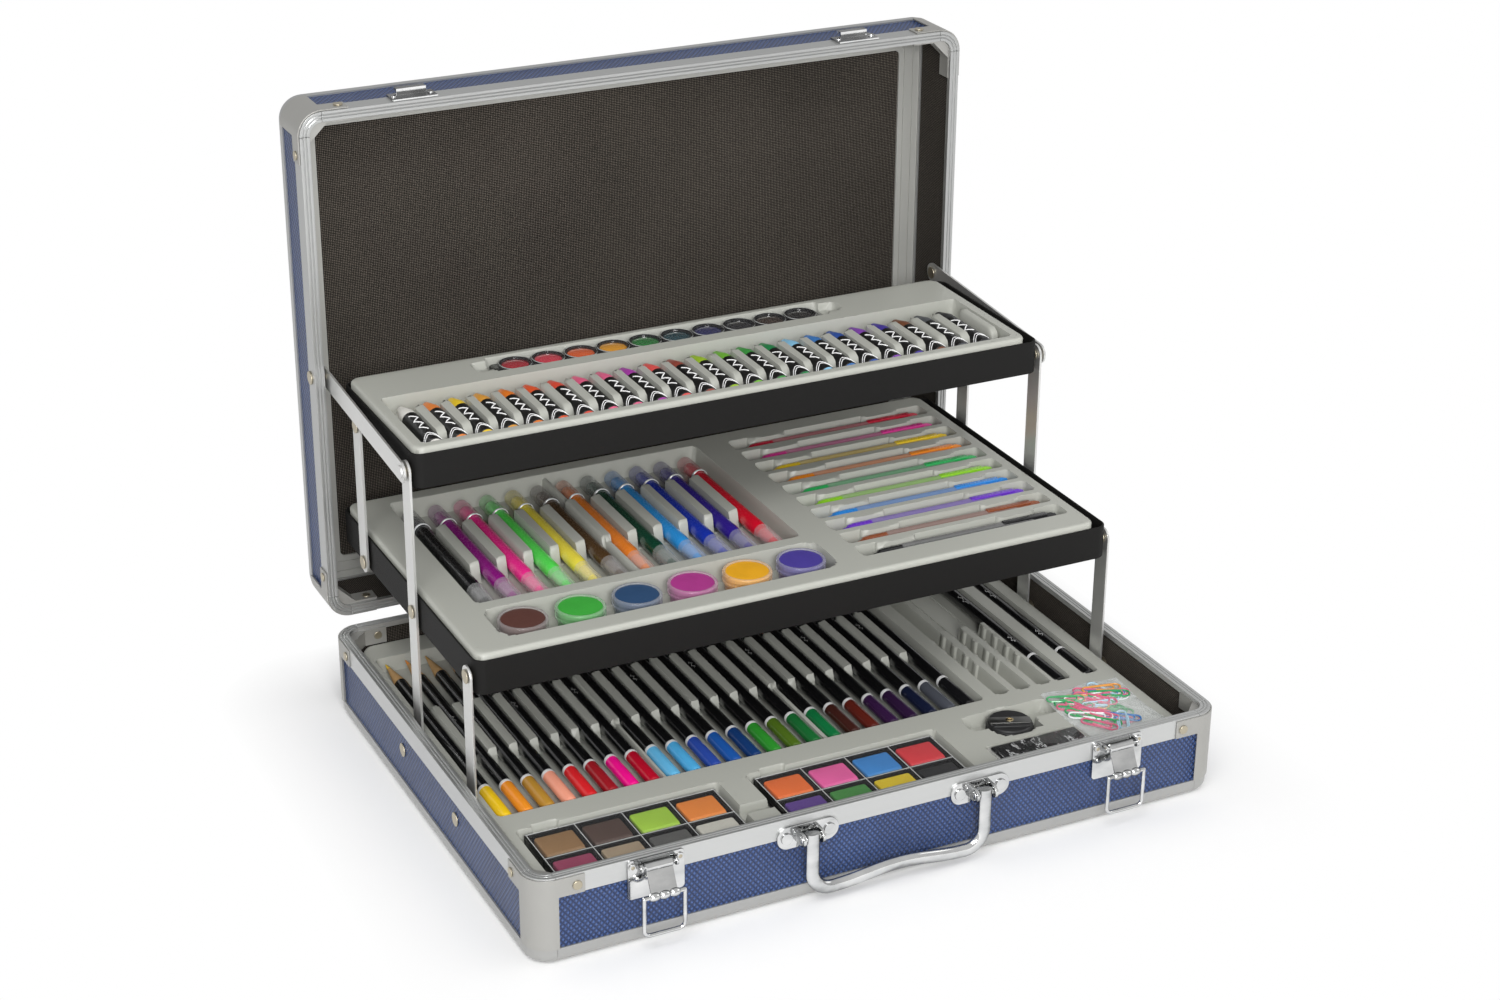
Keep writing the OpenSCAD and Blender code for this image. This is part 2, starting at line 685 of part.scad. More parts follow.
pot_x0 = felt_x0 + 6.6;
pot_pitch = 30.5;
pot_n = floor((gel_x0 - 15 - pot_x0)/pot_pitch) + 1;
pot_x = [for (k = [0:pot_n - 1]) pot_x0 + pot_pitch*k];
pot_y = mid_y0 + 30.5;
felt_pocket = [felt_x0 - 8.4, felt_x0 + (felt_n - 1)*felt_pitch + 10, felt_y0 - 2,
  mid_y0 + mid_d - 12, 11, 4];
pot_pocket = [pot_x0 - 16, pot_x[pot_n - 1] + 15, pot_y - 16, pot_y + 15.5, 12, 10];
gel_pockets = [for (k = [0:9]) [gel_x0, gel_x0 + 122, gel_y0 + gel_pitch*k - 6,
  gel_y0 + gel_pitch*k + 6, 10, 3]];
module middle_tray_insert() {
  color("silver") difference() {
    union() {
      insert_shell(mid_y0, mid_d, mid_z, mid_top);
      for (p = concat([felt_pocket, pot_pocket], gel_pockets)) pocket_skin(p, mid_top);
    }
    difference() {
      pocket(felt_pocket, mid_top);
      for (k = [0:felt_n - 2])
        translate([felt_x0 + (k + 0.5)*felt_pitch, felt_y0 + 55, mid_top - 12])
          rbox(4.6, k == 5 ? 150 : 46, 12, 2);
    }
    for (p = concat([pot_pocket], gel_pockets)) pocket(p, mid_top);
  }
}
module middle_tray_pins() {
  color("gainsboro") {
    tray_pin(q_y, q_z);
    tray_pin(front_y, q_z);
    tray_pin(rear_y, q_z + rear_dz);
  }
}
module felt_pens() {
  color("tomato") for (k = [0:felt_n - 1])
    ycyl(felt_r - 0.5, felt_y0 + 15, felt_y0 + 119, felt_x0 + k*felt_pitch, mid_top - 6);
}
module felt_pen_caps() {
  color("white") for (k = [0:felt_n - 1])
    ycyl(felt_r, felt_y0, felt_y0 + 14.8, felt_x0 + k*felt_pitch, mid_top - 6);
}
module gel_pens() {
  color("violet") for (k = [0:9])
    xcyl(4.3, gel_x0 + 3, gel_x0 + 119, gel_y0 + gel_pitch*k, mid_top - 5.3);
}
module paint_pots() {
  color("white") for (x = pot_x) translate([x, pot_y, mid_top - 12])
    difference() {
      cylinder(h = 12, r = pot_r);
      translate([0, 0, 10.4]) cylinder(h = 3, r = pot_r - 2);
    }
}
module pot_paints() {
  color("orange") for (x = pot_x) translate([x, pot_y, mid_top - 1.6])
    cylinder(h = 1, r = pot_r - 2.1);
}
module top_tray_box() {
  color("dimgray") tray_box(top_y0, top_d, top_z);
}
pastel_x0 = ins_x0 + 14;
pastel_n = floor((ins_w - 34)/13.5) + 1;
pastel_pitch = (ins_w - 34)/(pastel_n - 1);
pastel_y0 = top_y0 + 10.5;
cake_n = 10;
cake_pitch = 18.6;
strip_w = cake_n*cake_pitch + 6;
cake_x = ins_x - 2.5;
cake_at = [for (k = [0:cake_n - 1]) (k - (cake_n - 1)/2)*cake_pitch];
cake_y = top_y0 + top_d - 16;
pastel_pocket = [ins_x0 + 6, ins_x1 - 6, pastel_y0 - 2.5, pastel_y0 + 59, 9.5, 3];
cake_pocket = [cake_x - strip_w/2 - 2, cake_x + strip_w/2 + 2, cake_y - 9.5, cake_y + 9.5, 7, 4];
cake_notch = [cake_x - strip_w/2 - 11, cake_x + strip_w/2 + 11, cake_y - 6, cake_y + 6, 4, 5];
module top_tray_insert() {
  color("silver") difference() {
    union() {
      insert_shell(top_y0, top_d, top_z, top_top);
      for (p = [pastel_pocket, cake_pocket, cake_notch]) pocket_skin(p, top_top);
    }
    difference() {
      pocket(pastel_pocket, top_top);
      for (k = [0:pastel_n - 2])
        translate([pastel_x0 + (k + 0.5)*pastel_pitch, pastel_y0 + 26, top_top - 10])
          rbox(3.6, 34, 10, 1.7);
    }
    for (p = [cake_pocket, cake_notch]) pocket(p, top_top);
  }
}
module top_tray_pins() {
  color("gainsboro") {
    tray_pin(q_y, r_z);
    tray_pin(rear_y, r_z + rear_dz);
  }
}
module oil_pastels() {
  color("black") for (k = [0:pastel_n - 1])
    translate([pastel_x0 + k*pastel_pitch, pastel_y0, top_top - 4.9]) rotate([-90, 0, 0]) {
      cylinder(h = 44, r = pastel_r);
      translate([0, 0, 44]) cylinder(h = 9, r1 = pastel_r, r2 = 1.6);
    }
}
module watercolour_strip() {
  color("black") translate([cake_x, cake_y, top_top - 7]) difference() {
    rbox(strip_w, 17.6, 6.4, 3);
    for (x = cake_at) translate([x, 0, 1]) cylinder(h = 6, r = 8);
  }
}
module watercolour_cakes() {
  color("orange") for (x = cake_at)
    translate([cake_x + x, cake_y, top_top - 6]) cylinder(h = 4, r = 7.6);
}

base_floor();
base_wall_panels();
base_rim_rails();
base_bottom_trim();
base_corner_posts();
base_corner_gussets();
base_liner();
base_insert();
base_rivets();
pivot_rivets();
hinge_base_leaves();
hinge_pins();
handle_brackets();
latch_plates();
colour_pencils();
sketch_pencils();
palette_frames();
palette_cakes();
sharpener();
eraser();
clip_bag();
lid_panel();
lid_wall_panels();
lid_rim_rails();
lid_edge_trim();
lid_corner_posts();
lid_corner_gussets();
lid_liner();
lid_edge_rail();
lid_rivets();
lid_pins();
lid_strikers();
hinge_lid_leaves();
long_arms();
front_arms();
rear_arms();
lid_arms();
middle_tray_box();
middle_tray_insert();
middle_tray_pins();
felt_pens();
felt_pen_caps();
gel_pens();
paint_pots();
pot_paints();
top_tray_box();
top_tray_insert();
top_tray_pins();
oil_pastels();
watercolour_strip();
watercolour_cakes();
handle();
latch_lever_left();
latch_lever_right();
latch_bail_left();
latch_bail_right();
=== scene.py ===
import json
import math
import random

import bmesh
import bpy
import numpy as np
from mathutils import Matrix, Vector

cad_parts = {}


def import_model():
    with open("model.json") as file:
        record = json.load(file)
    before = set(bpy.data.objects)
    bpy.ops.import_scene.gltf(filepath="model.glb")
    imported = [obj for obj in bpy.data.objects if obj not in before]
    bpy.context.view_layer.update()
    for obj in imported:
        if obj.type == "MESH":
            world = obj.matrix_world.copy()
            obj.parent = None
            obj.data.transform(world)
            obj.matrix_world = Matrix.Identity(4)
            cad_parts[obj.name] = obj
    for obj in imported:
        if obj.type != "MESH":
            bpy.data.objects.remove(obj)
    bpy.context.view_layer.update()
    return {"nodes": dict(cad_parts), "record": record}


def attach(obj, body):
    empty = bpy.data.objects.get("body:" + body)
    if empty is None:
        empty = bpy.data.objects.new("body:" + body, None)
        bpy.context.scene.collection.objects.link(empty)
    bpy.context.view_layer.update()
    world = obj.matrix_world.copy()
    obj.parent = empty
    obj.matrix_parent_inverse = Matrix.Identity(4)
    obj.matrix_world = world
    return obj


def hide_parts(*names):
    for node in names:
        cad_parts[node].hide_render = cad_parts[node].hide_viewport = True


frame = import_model()

MM = 0.001
PI = math.pi
rng = random.Random(7)


# ---------------------------------------------------------------- colours
def paint(code):
    """A colour written as six hexadecimal digits, as a linear RGBA."""
    parts = [int(code[i:i + 2], 16) / 255 for i in (0, 2, 4)]
    return tuple(c / 12.92 if c < 0.04045 else ((c + 0.055) / 1.055) ** 2.4 for c in parts) + (1.0,)


def paints(codes):
    return [paint(c) for c in codes.split()]


def darker(colour, share):
    return tuple(c * share for c in colour)


def see_through(colour, white, share):
    """A colour as it shows through clear or milky plastic: some white and a share of itself."""
    return tuple(white + share * c for c in colour[:3]) + (1.0,)


WHITE = paint("ffffff")
BLACK = paint("111112")
SILVER_BAND = paint("dcdcdc")

PENCIL_COLOURS = paints(
    "f2c81f f0942a b98a35 f4a287 d8262c 9e1c26 f3148d b5102a "
    "63b4df 4fa9dc 2c49a0 1f56a5 17396f 2f8f2e 4d6a1e 1c6a33 "
    "14703d 3f1f1a 5c2018 33193f 2c1737 151b33 4a4d55 141416")
FELT_COLOURS = paints(
    "141416 8b1a7d f0308e 5be25a f2e04c 4f3a24 e8822e 12402e 2f93dc 1b34a8 33218c d3142c")
GEL_COLOURS = paints(
    "1a1a1c 8a4a2c 6a35c0 2f86d8 8fd02e 2fae5c ef8a22 e9c62c d93a92 c41f3a")
POT_COLOURS = paints("5e3a33 3fae3f 2c4d74 b33a8e f2b01e 4c3f9c")
PASTEL_COLOURS = paints(
    "e9e7e0 f08a3c f4cf2a eaa53e f07f22 ee5a2a e9503a f0668e ee6a94 b23fb0 ef5a55 9e4a3c "
    "a8cf2c 77bd3c 3fa045 1f8a4c 8fcdf0 3f7fc9 2f55a8 8a4ab8 4a3aa0 7a4a30 55585c 2a2b2e")
CAKE_COLOURS = paints("b01e30 d83a4e e8632a e9a01c 1f7a34 14404a 23265e 1b1c24 35261f 141416")
PALETTE_COLOURS = (paints("9a3a5c a8957c 5a5a58 cfcdc2  8c6a44 4a362e 9cc53a e2812e"),
                   paints("5c3a8c 3f8a3c e0c41e 17171a  e56a26 e25a9c 2f7ec4 d02a34"))
CLIP_COLOURS = paints("d86a88 d86a88 2f9a5c e8ecec 3f78b8 e09a4a d86a88 49a86a b8d8e8")


# ---------------------------------------------------------------- mesh helpers
def at(x=0, y=0, z=0, along="z", turn=0.0):
    """A place in millimetres whose local Z runs along the named row axis."""
    lay = {"z": Matrix.Identity(4),
           "y": Matrix.Rotation(-PI / 2, 4, "X"),
           "x": Matrix.Rotation(PI / 2, 4, "Y")}[along]
    return Matrix.Translation((x, y, z)) @ lay @ Matrix.Rotation(turn, 4, "Z")


class Form:
    """Collects rings and faces in millimetres, each face with its finish and its tint."""

    def __init__(self):
        self.verts, self.faces, self.finish, self.tints = [], [], [], []

    def add(self, verts, faces, place=Matrix.Identity(4), finish=0, tint=WHITE):
        first = len(self.verts)
        self.verts += [place @ Vector(v) for v in verts]
        self.faces += [[first + i for i in f] for f in faces]
        self.finish += [finish] * len(faces)
        self.tints += [tint] * len(faces)

    def loft(self, rings, place=Matrix.Identity(4), finish=0, tint=WHITE, caps=(True, True)):
        """Joins rings of equal length; each ring is a closed loop of points."""
        n = len(rings[0])
        verts = [p for ring in rings for p in ring]
        faces = []
        for k in range(len(rings) - 1):
            a, b = k * n, (k + 1) * n
            faces += [(a + i, a + (i + 1) % n, b + (i + 1) % n, b + i) for i in range(n)]
        if caps[0]:
            faces.append(tuple(reversed(range(n))))
        if caps[1]:
            faces.append(tuple(range((len(rings) - 1) * n, len(rings) * n)))
        self.add(verts, faces, place, finish, tint)

    def lathe(self, profile, place=Matrix.Identity(4), finish=0, tint=WHITE, segs=24,
              caps=(True, True)):
        """Turns (radius, height) points about local Z."""
        rings = [[(r * math.cos(2 * PI * i / segs), r * math.sin(2 * PI * i / segs), h)
                  for i in range(segs)] for r, h in profile]
        self.loft(rings, place, finish, tint, caps)

    def slab(self, w, d, h, r, edge, place=Matrix.Identity(4), finish=0, tint=WHITE, segs=5,
             steps=3, foot=0.0):
        """A rounded block from z 0 to h. Its top edge is rounded by edge, its lower one by foot."""
        def ring(inset, z):
            return [(x, y, z) for x, y in rounded(w - 2 * inset, d - 2 * inset,
                                                  max(r - inset, 0.05), segs)]
        turns = [PI / 2 * k / steps for k in range(steps + 1)]
        if foot:
            rings = [ring(foot * (1 - math.sin(t)), foot * (1 - math.cos(t))) for t in turns]
        else:
            rings = [ring(0, 0)]
        rings += [ring(edge * (1 - math.cos(t)), h - edge + edge * math.sin(t)) for t in turns]
        self.loft(rings, place, finish, tint)

    def tube(self, path, radius, place=Matrix.Identity(4), finish=0, tint=WHITE, segs=10,
             section=None, side=None):
        """Sweeps a round, or a given section, along a path without twisting it."""
        pts = [Vector(p) for p in path]
        n = len(pts)
        ways = []
        for i in range(n):
            ways.append((pts[min(i + 1, n - 1)] - pts[max(i - 1, 0)]).normalized())
        side = side or ways[0].orthogonal().normalized()
        rings = []
        for i in range(n):
            side = (side - ways[i] * side.dot(ways[i])).normalized()
            up = ways[i].cross(side)
            if section:
                rings.append([pts[i] + side * u + up * v for u, v in section])
            else:
                rings.append([pts[i] + (side * math.cos(2 * PI * k / segs)
                                        + up * math.sin(2 * PI * k / segs)) * radius
                              for k in range(segs)])
        self.loft(rings, place, finish, tint)

    def piece(self, name, body, finishes, replaces, slot, smooth=35):
        """Turns what was collected into an object that rides on a body."""
        mesh = bpy.data.meshes.new(name)
        mesh.from_pydata([v * MM for v in self.verts], [], self.faces)
        for f in finishes:
            mesh.materials.append(f)
        mesh.polygons.foreach_set("material_index", self.finish)
        tint = mesh.color_attributes.new("tint", "FLOAT_COLOR", "CORNER")
        colours = np.repeat(np.array(self.tints, dtype=np.float32),
                            [len(f) for f in self.faces], axis=0)
        tint.data.foreach_set("color", colours.ravel())
        return finish_piece(mesh, name, body, replaces, smooth)


def show(name, data):
    """Puts an object for a mesh, a lamp or a camera in the scene."""
    obj = bpy.data.objects.new(name, data)
    bpy.context.scene.collection.objects.link(obj)
    return obj


def finish_piece(mesh, name, body, replaces, smooth):
    bm = bmesh.new()
    bm.from_mesh(mesh)
    bmesh.ops.recalc_face_normals(bm, faces=bm.faces)
    limit = math.radians(smooth)
    for f in bm.faces:
        f.smooth = True
    for e in bm.edges:
        e.smooth = len(e.link_faces) == 2 and e.calc_face_angle(0) < limit
    bm.to_mesh(mesh)
    bm.free()
    obj = show(name, mesh)
    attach(obj, body)
    if replaces:
        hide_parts(*replaces)
    return obj


def rounded(w, d, r, segs=5):
    """Points of a rounded rectangle, anticlockwise."""
    pts = []
    for cx, cy, a0 in ((1, 1, 0), (-1, 1, 90), (-1, -1, 180), (1, -1, 270)):
        for k in range(segs + 1):
            a = math.radians(a0 + 90 * k / segs)
            pts.append((cx * (w / 2 - r) + r * math.cos(a), cy * (d / 2 - r) + r * math.sin(a)))
    return pts


WELD_M = 1e-6
FLAT_DEGREES = 0.5
SHARP_DEGREES = 30


def soften(node, finish, width, segments=2):
    """A copy of a CAD node with its sharp edges rounded, which stands for the node."""
    mesh = frame["nodes"][node].data.copy()
    mesh.name = node + "_shape"
    bm = bmesh.new()
    bm.from_mesh(mesh)
    bmesh.ops.remove_doubles(bm, verts=bm.verts, dist=WELD_M)
    bmesh.ops.dissolve_limit(bm, angle_limit=math.radians(FLAT_DEGREES), verts=bm.verts,
                             edges=bm.edges)
    sharp = [e for e in bm.edges
             if len(e.link_faces) == 2 and e.calc_face_angle(0) > math.radians(SHARP_DEGREES)]
    bmesh.ops.bevel(bm, geom=sharp, offset=width * MM, segments=segments, profile=0.5,
                    affect="EDGES", clamp_overlap=True)
    bm.to_mesh(mesh)
    bm.free()
    mesh.materials.clear()
    mesh.materials.append(finish)
    mesh.polygons.foreach_set("material_index", [0] * len(mesh.polygons))
    obj = finish_piece(mesh, node + "_shape", BODY_OF[node], (node,),
                       SHARP_DEGREES)
    obj.modifiers.new("even_normals", "WEIGHTED_NORMAL").keep_sharp = True


def reach(node):
    """The lowest and the highest corner of a CAD node, in millimetres."""
    pts = np.array([v.co for v in frame["nodes"][node].data.vertices]) / MM
    return pts.min(0), pts.max(0)


def middle(node):
    lo, hi = reach(node)
    return (lo + hi) / 2


def row(node, axis, count, radius):
    """The centres of equal round things that fill a CAD node from end to end."""
    lo, hi = reach(node)
    step = (hi[axis] - lo[axis] - 2 * radius) / (count - 1)
    return [lo[axis] + radius + step * k for k in range(count)]


BODY_OF = {node: body for body, nodes in frame["record"]["behaviour"]["bodies"].items()
           for node in nodes}
SLOT_OF = {part["node"]: part["material_slot"] for part in frame["record"]["subparts"]}


# ---------------------------------------------------------------- shader helpers
class Signal:
    """A shader socket. Python's operators on it add the Math nodes of the sum."""

    def __init__(self, nodes, socket):
        self.nodes, self.socket = nodes, socket

    def math(self, operation, *others, first=None):
        """A Math node on this value and the others; first is a value that comes before it."""
        values = [self, *others] if first is None else [first, self, *others]
        return self.nodes.node("ShaderNodeMath", {"operation": operation},
                               dict(enumerate(values)))

    def __add__(self, other):
        return self.math("ADD", other)

    def __radd__(self, other):
        return self.math("ADD", other)

    def __sub__(self, other):
        return self.math("SUBTRACT", other)

    def __rsub__(self, other):
        return self.math("SUBTRACT", first=other)

    def __mul__(self, other):
        return self.math("MULTIPLY", other)

    def __rmul__(self, other):
        return self.math("MULTIPLY", other)

    def __truediv__(self, other):
        return self.math("DIVIDE", other)

    def __rtruediv__(self, other):
        return self.math("DIVIDE", first=other)

    def sin(self):
        return self.math("SINE")

    def abs(self):
        return self.math("ABSOLUTE")

    def clamp(self, lo=0.0, hi=1.0):
        return self.math("MAXIMUM", lo).math("MINIMUM", hi)


class Nodes:
    """The node tree of a material or of the world."""

    def __init__(self, tree):
        self.tree = tree

    def feed(self, socket, value):
        """Links a Signal to a socket, or sets a plain value on it."""
        if isinstance(value, Signal):
            self.tree.links.new(value.socket, socket)
        else:
            socket.default_value = value

    def node(self, kind, settings=None, inputs=None, output=0):
        """Adds a node: its settings first, then the values or links of its sockets."""
        new = self.tree.nodes.new(kind)
        for key, value in (settings or {}).items():
            if key == "stops":
                ramp = new.color_ramp
                while len(ramp.elements) > 1:
                    ramp.elements.remove(ramp.elements[-1])
                ramp.elements[0].position, ramp.elements[0].color = value[0]
                for position, colour in value[1:]:
                    ramp.elements.new(position).color = colour
            else:
                setattr(new, key, value)
        for key, value in (inputs or {}).items():
            self.feed(new.inputs[key], value)
        return Signal(self, new.outputs[output])


class Finish(Nodes):
    """A material: constants go straight on the shader's sockets, links come from Signals."""

    def __init__(self, name, **constants):
        self.material = bpy.data.materials.new(name)
        self.material.use_nodes = True
        super().__init__(self.material.node_tree)
        self.shader = self.tree.nodes["Principled BSDF"]
        for socket, value in constants.items():
            self.set(socket.replace("_", " "), value)

    def set(self, socket, value):
        """Sets or links one input of the main shader."""
        self.feed(self.shader.inputs[socket], value)

    def place(self):
        """Object coordinates, in metres."""
        return self.node("ShaderNodeTexCoord", output="Object")

    def axes(self, vector=None):
        """The x, y and z of a vector, which is the place unless another is given."""
        split = self.node("ShaderNodeSeparateXYZ", inputs={0: vector or self.place()})
        return [Signal(self, out) for out in split.socket.node.outputs]

    def along_wall(self):
        """How far a point lies across and up the wall it is on, whichever way the wall faces."""
        x, y, z = self.axes()
        facing = self.axes(self.node("ShaderNodeTexCoord", output="Normal"))
        nx, nz = facing[0].abs(), facing[2].abs()
        return x * (1 - nx) + y * nx, z * (1 - nz) + y * nz

    def noise(self, scale, detail=3.0, rough=0.5, vector=None):
        return self.node("ShaderNodeTexNoise", {}, {
            "Vector": vector or self.place(), "Scale": scale, "Detail": detail,
            "Roughness": rough}, output="Fac")

    def stretched(self, x, y, z):
        """Object coordinates scaled by axis, for brushed or grained looks."""
        return self.node("ShaderNodeMapping", {}, {"Vector": self.place(), "Scale": (x, y, z)})

    def blend(self, factor, a, b, mode="MIX"):
        return self.node("ShaderNodeMix", {"data_type": "RGBA", "blend_type": mode}, {
            "Factor": factor, 6: a, 7: b}, output=2)

    def ramp(self, factor, stops):
        return self.node("ShaderNodeValToRGB", {"stops": stops}, {0: factor})

    def bump(self, height, strength, distance):
        return self.node("ShaderNodeBump", {}, {
            "Height": height, "Strength": strength, "Distance": distance}, output="Normal")

    def tint(self):
        """The colour that Form gave each face."""
        return self.node("ShaderNodeAttribute", {"attribute_name": "tint"}, output="Color")


# ---------------------------------------------------------------- finishes
DIAMOND = 2.8
WEAVE = 1.9


def textured_blue():
    """Plastic sheet embossed with small diamonds, with painted light on the diamonds and painted
    shade in the grooves between them.
    """
    f = Finish("diamond_blue", Specular_IOR_Level=0.5, Coat_Weight=0.2, Coat_Roughness=0.35)
    across, up = f.along_wall()
    turn = PI / (DIAMOND * MM)
    ridge = ((across + up * 0.8) * turn).sin().abs()
    other = ((across - up * 0.8) * turn).sin().abs()
    relief = ridge.math("MINIMUM", other)
    cloud = f.noise(60)
    # Colour: painted shade in the grooves and painted light on the diamonds' crests, with a random
    # cloud of tone.
    shade = (relief * 0.9 + cloud * 0.25).clamp()
    f.set("Base Color", f.ramp(shade, [(0.0, paint("0b1530")), (0.3, paint("152a54")),
                                       (0.75, paint("20396b")), (1.0, paint("415d92"))]))
    f.set("Normal", f.bump(relief, 0.8, 0.0006))
    f.set("Roughness", 0.45 - relief * 0.12)
    return f.material


def brushed(name, colour, rough, streak, strength, metal):
    """Drawn aluminium with fine streaks along its length."""
    f = Finish(name, Metallic=metal)
    streaks = f.noise(1.0, 4.0, 0.6, f.stretched(*streak))
    blotch = f.noise(25, 2.0)
    f.set("Base Color", f.blend((streaks * 0.6 + blotch * 0.3).clamp(),
                                darker(paint(colour), 0.86), paint(colour)))
    f.set("Roughness", streaks * 0.16 + (rough - 0.08))
    f.set("Normal", f.bump(streaks, strength, 0.0002))
    return f.material


def plain_metal(name, colour, rough, wear=0.12, scale=220, dark=0.86, metal=1.0):
    """Pressed or plated metal with faint scuffs."""
    f = Finish(name, Metallic=metal)
    cloud = f.noise(scale, 3.0)
    f.set("Base Color", f.blend(cloud, paint(colour), darker(paint(colour), dark)))
    f.set("Roughness", cloud * wear + rough)
    f.set("Normal", f.bump(cloud, 0.04, 0.0002))
    return f.material


def chrome():
    """Bright plating with painted reflections: its colour darkens towards its outline and in soft
    bands, as if dark surroundings were mirrored in it.
    """
    f = Finish("chrome", Metallic=1.0)
    facing = f.node("ShaderNodeLayerWeight", {}, {"Blend": 0.45}, output="Facing")
    reflection_bands = f.noise(1.0, 3.0, 0.5, f.stretched(70, 70, 130))
    # Painted reflections: the colour is dark towards the outline and in soft bands.
    shade = (facing * 0.55 + reflection_bands * 0.5).clamp()
    f.set("Base Color", f.ramp(shade, [(0.2, paint("f0f0ef")), (0.42, paint("d0d1d1")),
                                       (0.56, paint("8e8f90")), (0.75, paint("4c4d4f"))]))
    f.set("Roughness", reflection_bands * 0.06 + 0.08)
    f.set("Normal", f.bump(reflection_bands, 0.05, 0.0003))
    return f.material


def woven_black():
    """The black lining, woven on the diagonal."""
    f = Finish("woven_black", Roughness=0.9, Specular_IOR_Level=0.2)
    across, up = f.along_wall()
    turn = 2 * PI / (WEAVE * MM)
    warp = ((across + up) * turn).sin()
    weft = ((across - up) * turn).sin()
    relief = warp * weft * 0.5 + 0.5
    dots = f.noise(1500, 2.0)
    cloud = f.noise(9, 4.0)
    f.set("Base Color", f.ramp((relief * 0.75 + dots * 0.4 + cloud * 0.2 - 0.17).clamp(),
                               [(0.15, paint("0c0b09")), (0.5, paint("24211d")),
                                (0.9, paint("736b62"))]))
    f.set("Normal", f.bump(relief, 0.6, 0.0004))
    return f.material


def moulded(name, colour, rough=0.45, grain=900, strength=0.08, spread=0.12, spec=0.5):
    """Plain moulded or formed plastic with a fine grain."""
    f = Finish(name, Specular_IOR_Level=spec)
    fine = f.noise(grain, 2.0)
    cloud = f.noise(18, 3.0)
    f.set("Base Color", f.blend(cloud, paint(colour), darker(paint(colour), 1 - spread)))
    f.set("Roughness", fine * 0.12 + (rough - 0.06))
    f.set("Normal", f.bump(fine, strength, 0.0002))
    return f.material


def tinted(name, rough=0.3, coat=0.3, grain=700, strength=0.05, vary=0.25, spec=0.5, streak=None):
    """A finish whose colour comes from the tint of each face."""
    f = Finish(name, Coat_Weight=coat, Coat_Roughness=0.12, Specular_IOR_Level=spec)
    fine = f.noise(grain, 2.0, vector=f.stretched(*streak) if streak else None)
    cloud = f.noise(120, 3.0)
    tint = f.tint()
    dark = f.blend(1.0, tint, (1 - vary, 1 - vary, 1 - vary, 1), "MULTIPLY")
    f.set("Base Color", f.blend(cloud, tint, dark))
    f.set("Roughness", fine * 0.15 + (rough - 0.07))
    f.set("Normal", f.bump(fine, strength, 0.0002))
    return f.material


def clear(name, alpha, edge=0.6, rough=0.12, crease=0.0):
    """Clear or milky plastic, denser towards its outline than face on."""
    f = Finish(name, Specular_IOR_Level=0.5, Coat_Weight=0.3, Coat_Roughness=0.08)
    cloud = f.noise(160, 2.0)
    f.set("Base Color", f.tint())
    f.set("Roughness", cloud * 0.1 + rough)
    facing = f.node("ShaderNodeLayerWeight", {}, {"Blend": 0.3}, output="Facing")
    f.set("Alpha", (facing * edge + alpha).clamp())
    if crease:
        folds = f.noise(110, 4.0, 0.6)
        f.set("Normal", f.bump(folds, crease, 0.003))
    return f.material


def wrapped():
    """Black rubber in a tight clear wrapper, with painted highlights as thin light streaks along
    the wrapper's creases.
    """
    f = Finish("wrapped_rubber", Roughness=0.2, Coat_Weight=0.5, Coat_Roughness=0.05)
    folds = f.noise(1.0, 5.0, 0.7, f.stretched(170, 60, 60))
    # The light stop of the ramp paints highlights along the creases.
    f.set("Base Color", f.ramp(folds, [(0.0, paint("0e0e10")), (0.54, paint("131315")),
                                       (0.57, paint("e4e6e6")), (0.6, paint("1c1c1e"))]))
    f.set("Normal", f.bump(folds, 0.9, 0.003))
    return f.material


# Scales of the streaks' noise by axis: they run where the scale is low.
LEVEL, UPRIGHT, ALONG_ARM = (5, 5, 500), (5, 500, 5), (400, 400, 6)

BLUE = textured_blue()
RAIL = brushed("rail_aluminium", "cecfce", 0.32, LEVEL, 0.12, 0.75)
TRIM = brushed("trim_aluminium", "b0b0ae", 0.34, LEVEL, 0.12, 0.6)
# The lid's rails are painted darker than the base's rails, and the inner one is also made less
# metallic: painted shade for faces that turn to the camera and the bright front.
SHADED_LID_RAIL = brushed("lid_rail_aluminium_shaded", "b9bab9", 0.32, UPRIGHT, 0.12, 0.75)
SHADED_INNER_RAIL = brushed("inner_rail_aluminium_shaded", "b4b4af", 0.42, UPRIGHT, 0.06, 0.25)
POST = plain_metal("pressed_corner", "adaca8", 0.38, 0.06, 40, 0.93, 0.6)
ARM = brushed("arm_aluminium", "e2e2e0", 0.34, ALONG_ARM, 0.06, 0.8)
CHROME = chrome()
RIVET = plain_metal("rivet_steel", "c4bba6", 0.3)
LINING = woven_black()
FORMED = moulded("formed_grey", "b0b1a9", 0.4, 1400, 0.04, 0.05)
CARD = moulded("tray_black", "11100f", 0.65, 2600, 0.5, 0.25, 0.25)
GLOSS_BLACK = moulded("gloss_black", "0f0f11", 0.2, 500, 0.03, 0.2)
MATT_BLACK = moulded("matt_black", "232324", 0.45, 700, 0.1, 0.2)
LACQUER = tinted("pencil_lacquer", 0.22, 0.5, 500, 0.02, 0.12)
RAW_WOOD = tinted("cut_wood", 0.7, 0.0, 900, 0.25, 0.3, streak=(900, 40, 900))
PRESSED = tinted("pressed_paint", 0.6, 0.05, 1500, 0.25, 0.2)
WET = tinted("glazed_paint", 0.12, 0.9, 90, 0.12, 0.25)
WAX = tinted("pastel_wax", 0.5, 0.1, 700, 0.2, 0.2)
PAPER = tinted("pastel_wrapper", 0.4, 0.15, 500, 0.05, 0.1)
PLASTIC = tinted("pen_plastic", 0.26, 0.3, 1500, 0.01, 0.05)
CLEAR = clear("clear_plastic", 0.12, 0.55)
